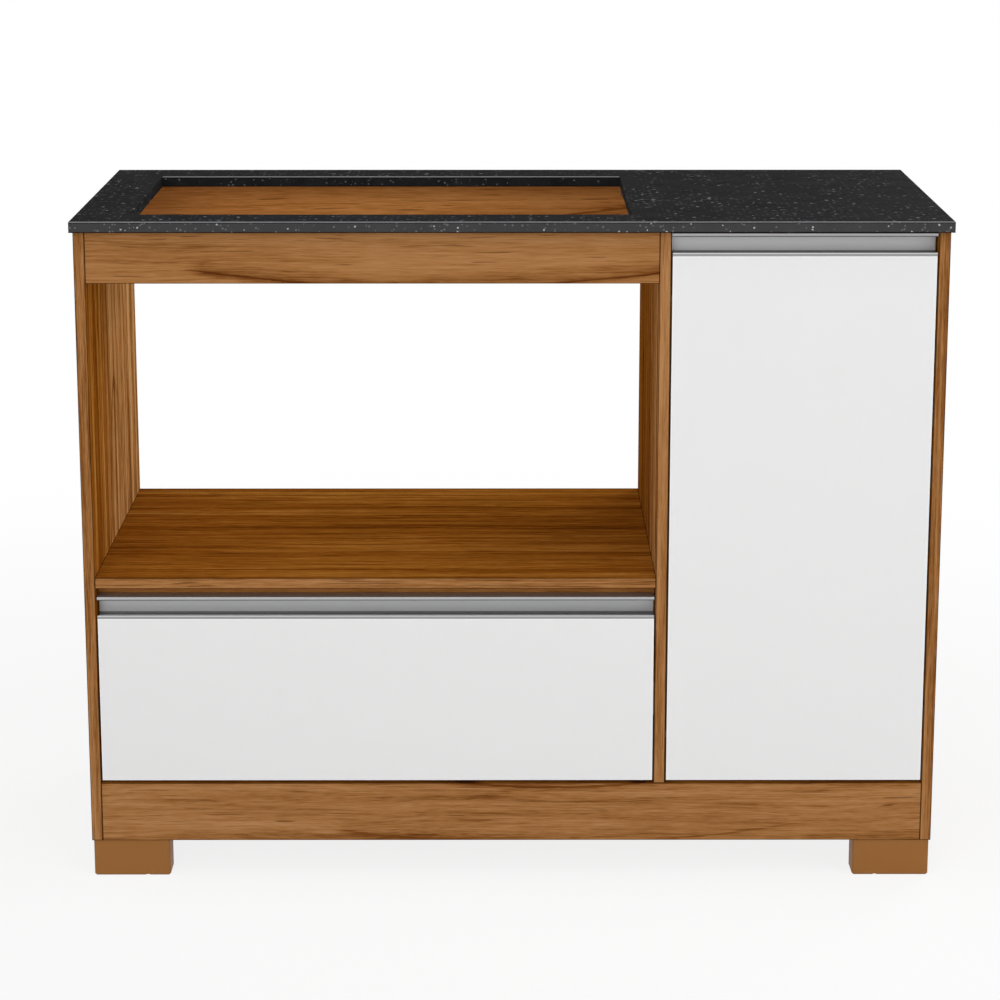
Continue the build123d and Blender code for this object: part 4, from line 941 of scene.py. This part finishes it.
class MeshSheet(NodeSheet):
    """A Geometry Nodes tree with named inputs."""

    def __init__(self, name: str) -> None:
        """Makes an empty tree with a way in and a way out.

        Args:
            name: The tree's name.
        """
        super().__init__(bpy.data.node_groups.new(name, "GeometryNodeTree"))
        self.keys: dict[str, str] = {}
        self.tree.interface.new_socket("Sites", in_out="INPUT", socket_type="NodeSocketGeometry")
        self.tree.interface.new_socket("Made", in_out="OUTPUT", socket_type="NodeSocketGeometry")
        self.entry = self.tree.nodes.new("NodeGroupInput")

    def size(self, name: str, kind: str = "NodeSocketFloat") -> Wire:
        """Adds a named input.

        Args:
            name: The input's name.
            kind: The input's type.

        Returns:
            A wire from it.
        """
        item = self.tree.interface.new_socket(name, in_out="INPUT", socket_type=kind)
        self.keys[name] = item.identifier
        return Wire(self, self.entry.outputs[name])

    def move(self, shape: Wire, up: Number) -> Wire:
        """Moves a shape along Z."""
        values = {"Geometry": shape, "Translation": self.vector(0, 0, up)}
        return self.node("GeometryNodeTransform", sockets=values)

    def join(self, *shapes: Wire) -> Wire:
        """Joins shapes into one.

        Args:
            *shapes: The shapes.

        Returns:
            The joined shape.
        """
        joined = self.tree.nodes.new("GeometryNodeJoinGeometry")
        for shape in shapes:
            self.tree.links.new(shape.socket, joined.inputs[0])
        return Wire(self, joined.outputs[0])

    def place_all(self, shape: Wire) -> None:
        """Puts the shape on every site, turned to its direction, and ends the tree.

        Args:
            shape: A shape whose head is at the origin and whose Z axis points out.
        """
        finish = self.size("Finish", "NodeSocketMaterial")
        out = self.node("GeometryNodeInputNamedAttribute", {"data_type": "FLOAT_VECTOR"}, {"Name": "out"})
        turn = self.node("FunctionNodeAlignRotationToVector", {"axis": "Z"}, {"Vector": out})
        sites = Wire(self, self.entry.outputs["Sites"])
        values = {"Points": sites, "Instance": shape, "Rotation": turn}
        placed = self.node("GeometryNodeInstanceOnPoints", sockets=values)
        real = self.node("GeometryNodeRealizeInstances", sockets={"Geometry": placed})
        painted = self.node("GeometryNodeSetMaterial", sockets={"Geometry": real, "Material": finish})
        self.node("NodeGroupOutput", sockets={"Made": painted})

    def make(self, name: str, sites: Sequence[Site], values: dict[str, Any]) -> bpy.types.Object:
        """Runs the tree on some sites and keeps the result as a plain mesh.

        Args:
            name: The new piece's name.
            sites: Where the shape goes.
            values: The value of each named input.

        Returns:
            The new piece.
        """
        points = bpy.data.meshes.new(f"{name}_sites")
        points.from_pydata([site.head for site in sites], [], [])
        ways = points.attributes.new("out", "FLOAT_VECTOR", "POINT")
        ways.data.foreach_set("vector", [part for site in sites for part in site.out])
        holder = add_object(f"{name}_holder", points)
        modifier = holder.modifiers.new(self.tree.name, "NODES")
        modifier.node_group = self.tree
        for key, value in values.items():
            modifier[self.keys[key]] = value
        holder.update_tag()
        bpy.context.view_layer.update()
        shape = holder.evaluated_get(bpy.context.evaluated_depsgraph_get())
        mesh = bpy.data.meshes.new_from_object(shape)
        mesh.name = name
        bpy.data.objects.remove(holder)
        outwards = bmesh.new()
        outwards.from_mesh(mesh)
        bmesh.ops.recalc_face_normals(outwards, faces=outwards.faces)
        outwards.to_mesh(mesh)
        outwards.free()
        return add_object(name, mesh)


class ScrewSheet(MeshSheet):
    """A countersunk cross-head screw with a rolled thread. Its shares are of its length or its radius."""

    core_share = 0.78
    shank_share = 0.8
    thread_share = 0.81
    ridge_share = 0.14
    arm_share = 1.15
    tip_radius = 0.2 * MILLIMETRE
    sides = 14
    head_sides = 28

    def __init__(self) -> None:
        """Writes the screw's tree."""
        super().__init__("countersunk_screw")
        length = self.size("Length")
        radius = self.size("Radius")
        head = self.size("Head Radius")
        pitch = self.size("Pitch")
        slot = self.size("Slot Width")
        drop = head - radius
        core = radius * self.core_share
        values = {"Vertices": self.sides, "Radius": core, "Depth": length * self.shank_share - drop * 0.5}
        shank = self.node("GeometryNodeMeshCylinder", sockets=values)
        shank = self.move(shank, length * (self.shank_share * -0.5) - drop * 0.25)
        values = {"Vertices": self.sides, "Radius Top": core, "Radius Bottom": self.tip_radius}
        values["Depth"] = length * (1.0 - self.shank_share)
        tip = self.move(self.node("GeometryNodeMeshCone", sockets=values), length * -1.0)
        values = {"Vertices": self.head_sides, "Radius Top": head, "Radius Bottom": core, "Depth": drop}
        cone = self.move(self.node("GeometryNodeMeshCone", sockets=values), drop * -1.0)
        cut = self.tree.nodes.new("GeometryNodeMeshBoolean")
        cut.operation = "DIFFERENCE"
        self.tree.links.new(cone.socket, cut.inputs["Mesh 1"])
        arm = head * self.arm_share
        for x, y in ((arm, slot), (slot, arm)):
            bar = self.node("GeometryNodeMeshCube", sockets={"Size": self.vector(x, y, drop * 1.1)})
            self.tree.links.new(bar.socket, cut.inputs["Mesh 2"])
        thread = self._thread(length * self.thread_share - drop, radius, pitch)
        thread = self.move(thread, length * -self.thread_share)
        self.place_all(self.join(Wire(self, cut.outputs[0]), shank, tip, thread))

    def _thread(self, height: Wire, radius: Wire, pitch: Wire) -> Wire:
        """Winds the thread.

        Args:
            height: How high it climbs.
            radius: The radius over its ridge.
            pitch: The step of one turn.

        Returns:
            The thread, from the origin upwards.
        """
        turns = height / pitch
        middle = radius * (1.0 - self.ridge_share)
        values = {"Resolution": 12, "Rotations": turns, "Start Radius": middle, "End Radius": middle}
        values["Height"] = turns * pitch
        coil = self.node("GeometryNodeCurveSpiral", sockets=values)
        values = {"Resolution": 3, "Radius": radius * self.ridge_share}
        ridge = self.node("GeometryNodeCurvePrimitiveCircle", {"mode": "RADIUS"}, values)
        values = {"Curve": coil, "Profile Curve": ridge, "Fill Caps": True}
        return self.node("GeometryNodeCurveToMesh", sockets=values)


class DowelSheet(MeshSheet):
    """A fluted dowel, with shares of its radius. Its chamfers lie beyond end_place, of 0 to 0.5."""

    flute_share = 0.86
    chamfer_share = 0.16
    end_place = 0.49

    def __init__(self) -> None:
        """Writes the dowel's tree."""
        super().__init__("fluted_dowel")
        length = self.size("Length")
        radius = self.size("Radius")
        flutes = self.size("Flutes", "NodeSocketInt")
        values = {"Start": self.vector(0, 0, length * -1.0), "End": self.vector(0, 0, 0)}
        line = self.node("GeometryNodeCurvePrimitiveLine", sockets=values)
        steps = self.node("GeometryNodeResampleCurve", sockets={"Curve": line, "Count": 16})
        along = self.node("GeometryNodeSplineParameter", out="Factor")
        ends = abs(along - 0.5) > self.end_place
        values = {"Curve": steps, "Radius": 1.0 - ends * self.chamfer_share}
        narrow = self.node("GeometryNodeSetCurveRadius", sockets=values)
        values = {"Points": flutes, "Inner Radius": radius * self.flute_share, "Outer Radius": radius}
        star = self.node("GeometryNodeCurveStar", sockets=values)
        reach = self.node("GeometryNodeInputRadius")
        values = {"Curve": narrow, "Profile Curve": star, "Scale": reach, "Fill Caps": True}
        swept = self.node("GeometryNodeCurveToMesh", sockets=values)
        self.place_all(self.node("GeometryNodeSetShadeSmooth", sockets={0: swept, "Shade Smooth": False}))


@dataclass
class Hardware:
    """Screws, dowels, cams, bolts, brackets, pins and hinges."""

    screws: dict[str, tuple[str, ...]] = field(
        default_factory=lambda: {
            "carcass": (
                "connecting_screws", "foot_screws", "bracket_screws", "slide_wall_screws",
                "hinge_plate_screws",
            ),
            "drawer": (
                "slide_drawer_screws", "drawer_box_screws", "drawer_front_screws", "drawer_handle_screws",
            ),
            "door": ("door_handle_screws", "hinge_cup_screws"),
        }
    )
    bright: tuple[str, ...] = (
        "shelf_pins", "cam_bolts", "hinge_pins", "hinge_cups", "hinge_arms", "hinge_plates",
    )
    pitch_share: float = 0.42
    shank_share: float = 0.5
    slot_width: float = 0.9 * MILLIMETRE
    flutes: int = 18
    bronze: Colour = shown(124, 92, 54)

    def _make_screws(self) -> None:
        """Makes every group of screws on its own body."""
        sheet = ScrewSheet()
        zinc = DrawnMetal("screw_zinc", shown(190, 190, 186), 0.28, Way.DEEP, mottle=0.3).material()
        bronze = DrawnMetal("screw_bronze_zinc", self.bronze, 0.42, Way.DEEP, mottle=0.3).material()
        for name, body in [(name, body) for body, names in self.screws.items() for name in names]:
            sites = LooseParts.sites(name)
            head = sites[0].radius
            radius = head * self.shank_share
            values = {
                "Length": sites[0].length,
                "Radius": radius,
                "Head Radius": head,
                "Pitch": radius * 2 * self.pitch_share,
                "Slot Width": self.slot_width,
                "Finish": bronze if name == "bracket_screws" else zinc,
            }
            piece = sheet.make(f"turned_{name}", sites, values)
            slot = "bright_steel" if name.startswith("hinge") else "screw_steel"
            self._settle(piece, body, name, slot)

    def _make_dowels(self) -> None:
        """Makes the fluted dowels."""
        sites = LooseParts.sites("dowels")
        beech = Fibre("beech", shown(176, 138, 92), shown(212, 176, 130), (120, 420, 420), 0.6)
        values = {
            "Length": sites[0].length,
            "Radius": sites[0].radius,
            "Flutes": self.flutes,
            "Finish": beech.material(),
        }
        self._settle(DowelSheet().make("fluted_dowels", sites, values), "carcass", "dowels", "beech")

    @staticmethod
    def _settle(piece: bpy.types.Object, body: str, node: str, slot: str) -> None:
        """Ties a made piece to its body and to the piece that it stands for.

        Args:
            piece: The made piece.
            body: The body that it moves with.
            node: The piece that it stands for.
            slot: Not used.
        """
        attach(piece, body)
        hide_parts(node)
        log.info("%s: %d faces, for %s", piece.name, len(piece.data.polygons), node)

    def dress(self) -> None:
        """Makes the repeated pieces and dresses the rest."""
        self._make_screws()
        self._make_dowels()
        nickel = DrawnMetal("nickel_plate", shown(200, 197, 190), 0.34, Way.UP, mottle=0.2)
        cap = shown(150, 100, 54)
        cast = DrawnMetal("cast_zinc", shown(168, 170, 174), 0.42, Way.UP, mottle=0.9, cap=cap)
        bronze = DrawnMetal("bracket_bronze_zinc", self.bronze, 0.46, Way.UP, mottle=0.6)
        rubber = Moulded("stop_rubber", shown(188, 186, 180), 0.6)
        for names, finish in (
            (self.bright, nickel),
            (("cam_locks",), cast),
            (("worktop_brackets",), bronze),
            (("door_stops",), rubber),
        ):
            NodeBrush.paint(names, finish.material())


@dataclass(frozen=True)
class Lamp:
    """A soft square lamp: where it hangs, what it points at, its size in metres and its power in watts."""

    name: str
    place: Triple
    aim: Triple
    size: float
    power: float

    def hang(self) -> None:
        """Hangs the lamp in the scene."""
        data = bpy.data.lights.new(self.name, "AREA")
        data.shape = "SQUARE"
        data.size = self.size
        data.energy = self.power
        lamp = add_object(self.name, data)
        lamp.location = self.place
        way = Vector(self.aim) - Vector(self.place)
        lamp.rotation_euler = way.to_track_quat("-Z", "Y").to_euler()


@dataclass
class Studio:
    """The floor, the soft light and the camera."""

    floor_size: float = 24.0
    ground: Colour = shown(250, 250, 250)
    shadow_share: float = 0.16
    fade: float = 2.4
    fill: float = 0.43
    lamps: tuple[Lamp, ...] = (
        Lamp("key_lamp", (-1.5, -4.4, 2.0), (0.0, 0.0, 0.45), 2.6, 57.0),
        Lamp("top_lamp", (-0.1, -1.4, 3.4), (-0.1, 0.1, 0.6), 1.6, 16.0),
        Lamp("side_lamp", (3.4, -2.6, 1.9), (0.0, 0.0, 0.45), 2.2, 37.0),
        Lamp("back_lamp", (2.2, 3.0, 1.5), (-0.3, 0.0, 0.6), 1.8, 46.0),
    )
    camera_place: Triple = (-0.0217, -3.9247, 1.4694)
    camera_down: float = 0.21657
    camera_turn: float = -0.00162
    lens: float = 101.83
    film: float = 36.0
    shift: tuple[float, float] = (0.0, -0.09)

    @staticmethod
    def _seen(sheet: NodeSheet) -> Wire:
        """Picks the rays that see the background: straight, in a reflection or through glass.

        Args:
            sheet: The tree to write to.

        Returns:
            1 for those rays and 0 for the others.
        """
        paths = sheet.node("ShaderNodeLightPath").socket.node.outputs
        names = ("Is Camera Ray", "Is Glossy Ray", "Is Transmission Ray")
        straight, glossy, through = (Wire(sheet, paths[name]) for name in names)
        return straight | glossy | through

    def _floor(self) -> None:
        """Lays the pale floor, which keeps the cabinet's soft shadow and fades to white."""
        half = self.floor_size / 2
        mesh = bpy.data.meshes.new("floor")
        corners = [(-half, -half, 0.0), (half, -half, 0.0), (half, half, 0.0), (-half, half, 0.0)]
        mesh.from_pydata(corners, [], [(0, 1, 2, 3)])
        sheet = FinishSheet("pale_floor")
        matt = sheet.node("ShaderNodeBsdfDiffuse", sockets={"Color": self.ground})
        white = sheet.node("ShaderNodeEmission", sockets={"Color": (1.0, 1.0, 1.0, 1.0), "Strength": 1.0})
        x, y, _ = sheet.place()
        away = (x * x + y * y).root() / self.fade
        near = sheet.level(away, [(0.35, 1.0), (1.0, 0.0)], soft=True)
        share = self._seen(sheet) * (1.0 - near * self.shadow_share)
        mixed = sheet.node("ShaderNodeMixShader", sockets={0: share, 1: matt, 2: white})
        sheet.node("ShaderNodeOutputMaterial", sockets={"Surface": mixed})
        mesh.materials.append(sheet.material)
        add_object("floor", mesh)

    def _sky(self) -> None:
        """Makes the even light all round, which shows as white."""
        world = bpy.data.worlds.new("studio")
        bpy.context.scene.world = world
        world.use_nodes = True
        sheet = NodeSheet(world.node_tree)
        strength = self._seen(sheet) * (1.0 - self.fill) + self.fill
        values = {"Color": (1.0, 1.0, 1.0, 1.0), "Strength": strength}
        light = sheet.node("ShaderNodeBackground", sockets=values)
        sheet.node("ShaderNodeOutputWorld", sockets={"Surface": light})

    def _camera(self) -> None:
        """Sets up the camera at the photograph's viewpoint."""
        data = bpy.data.cameras.new("camera")
        data.lens = self.lens
        data.sensor_width = self.film
        data.shift_x, data.shift_y = self.shift
        camera = add_object("camera", data)
        camera.location = self.camera_place
        camera.rotation_euler = (math.pi / 2 - self.camera_down, 0.0, self.camera_turn)
        bpy.context.scene.camera = camera

    def build(self) -> None:
        """Builds the studio."""
        self._floor()
        self._sky()
        for lamp in self.lamps:
            lamp.hang()
        self._camera()
        bpy.context.scene.view_settings.view_transform = "Standard"


def main() -> None:
    """Dresses the cabinet and builds the studio."""
    logging.basicConfig(level=logging.INFO, format="%(name)s %(message)s")
    for part in (Carcass(), Worktop(), Fronts(), DrawerBox(), BackPanels(), Feet(), Hardware()):
        part.dress()
        log.info("dressed %s", type(part).__name__)
    Studio().build()


if __name__ == "__main__":
    main()
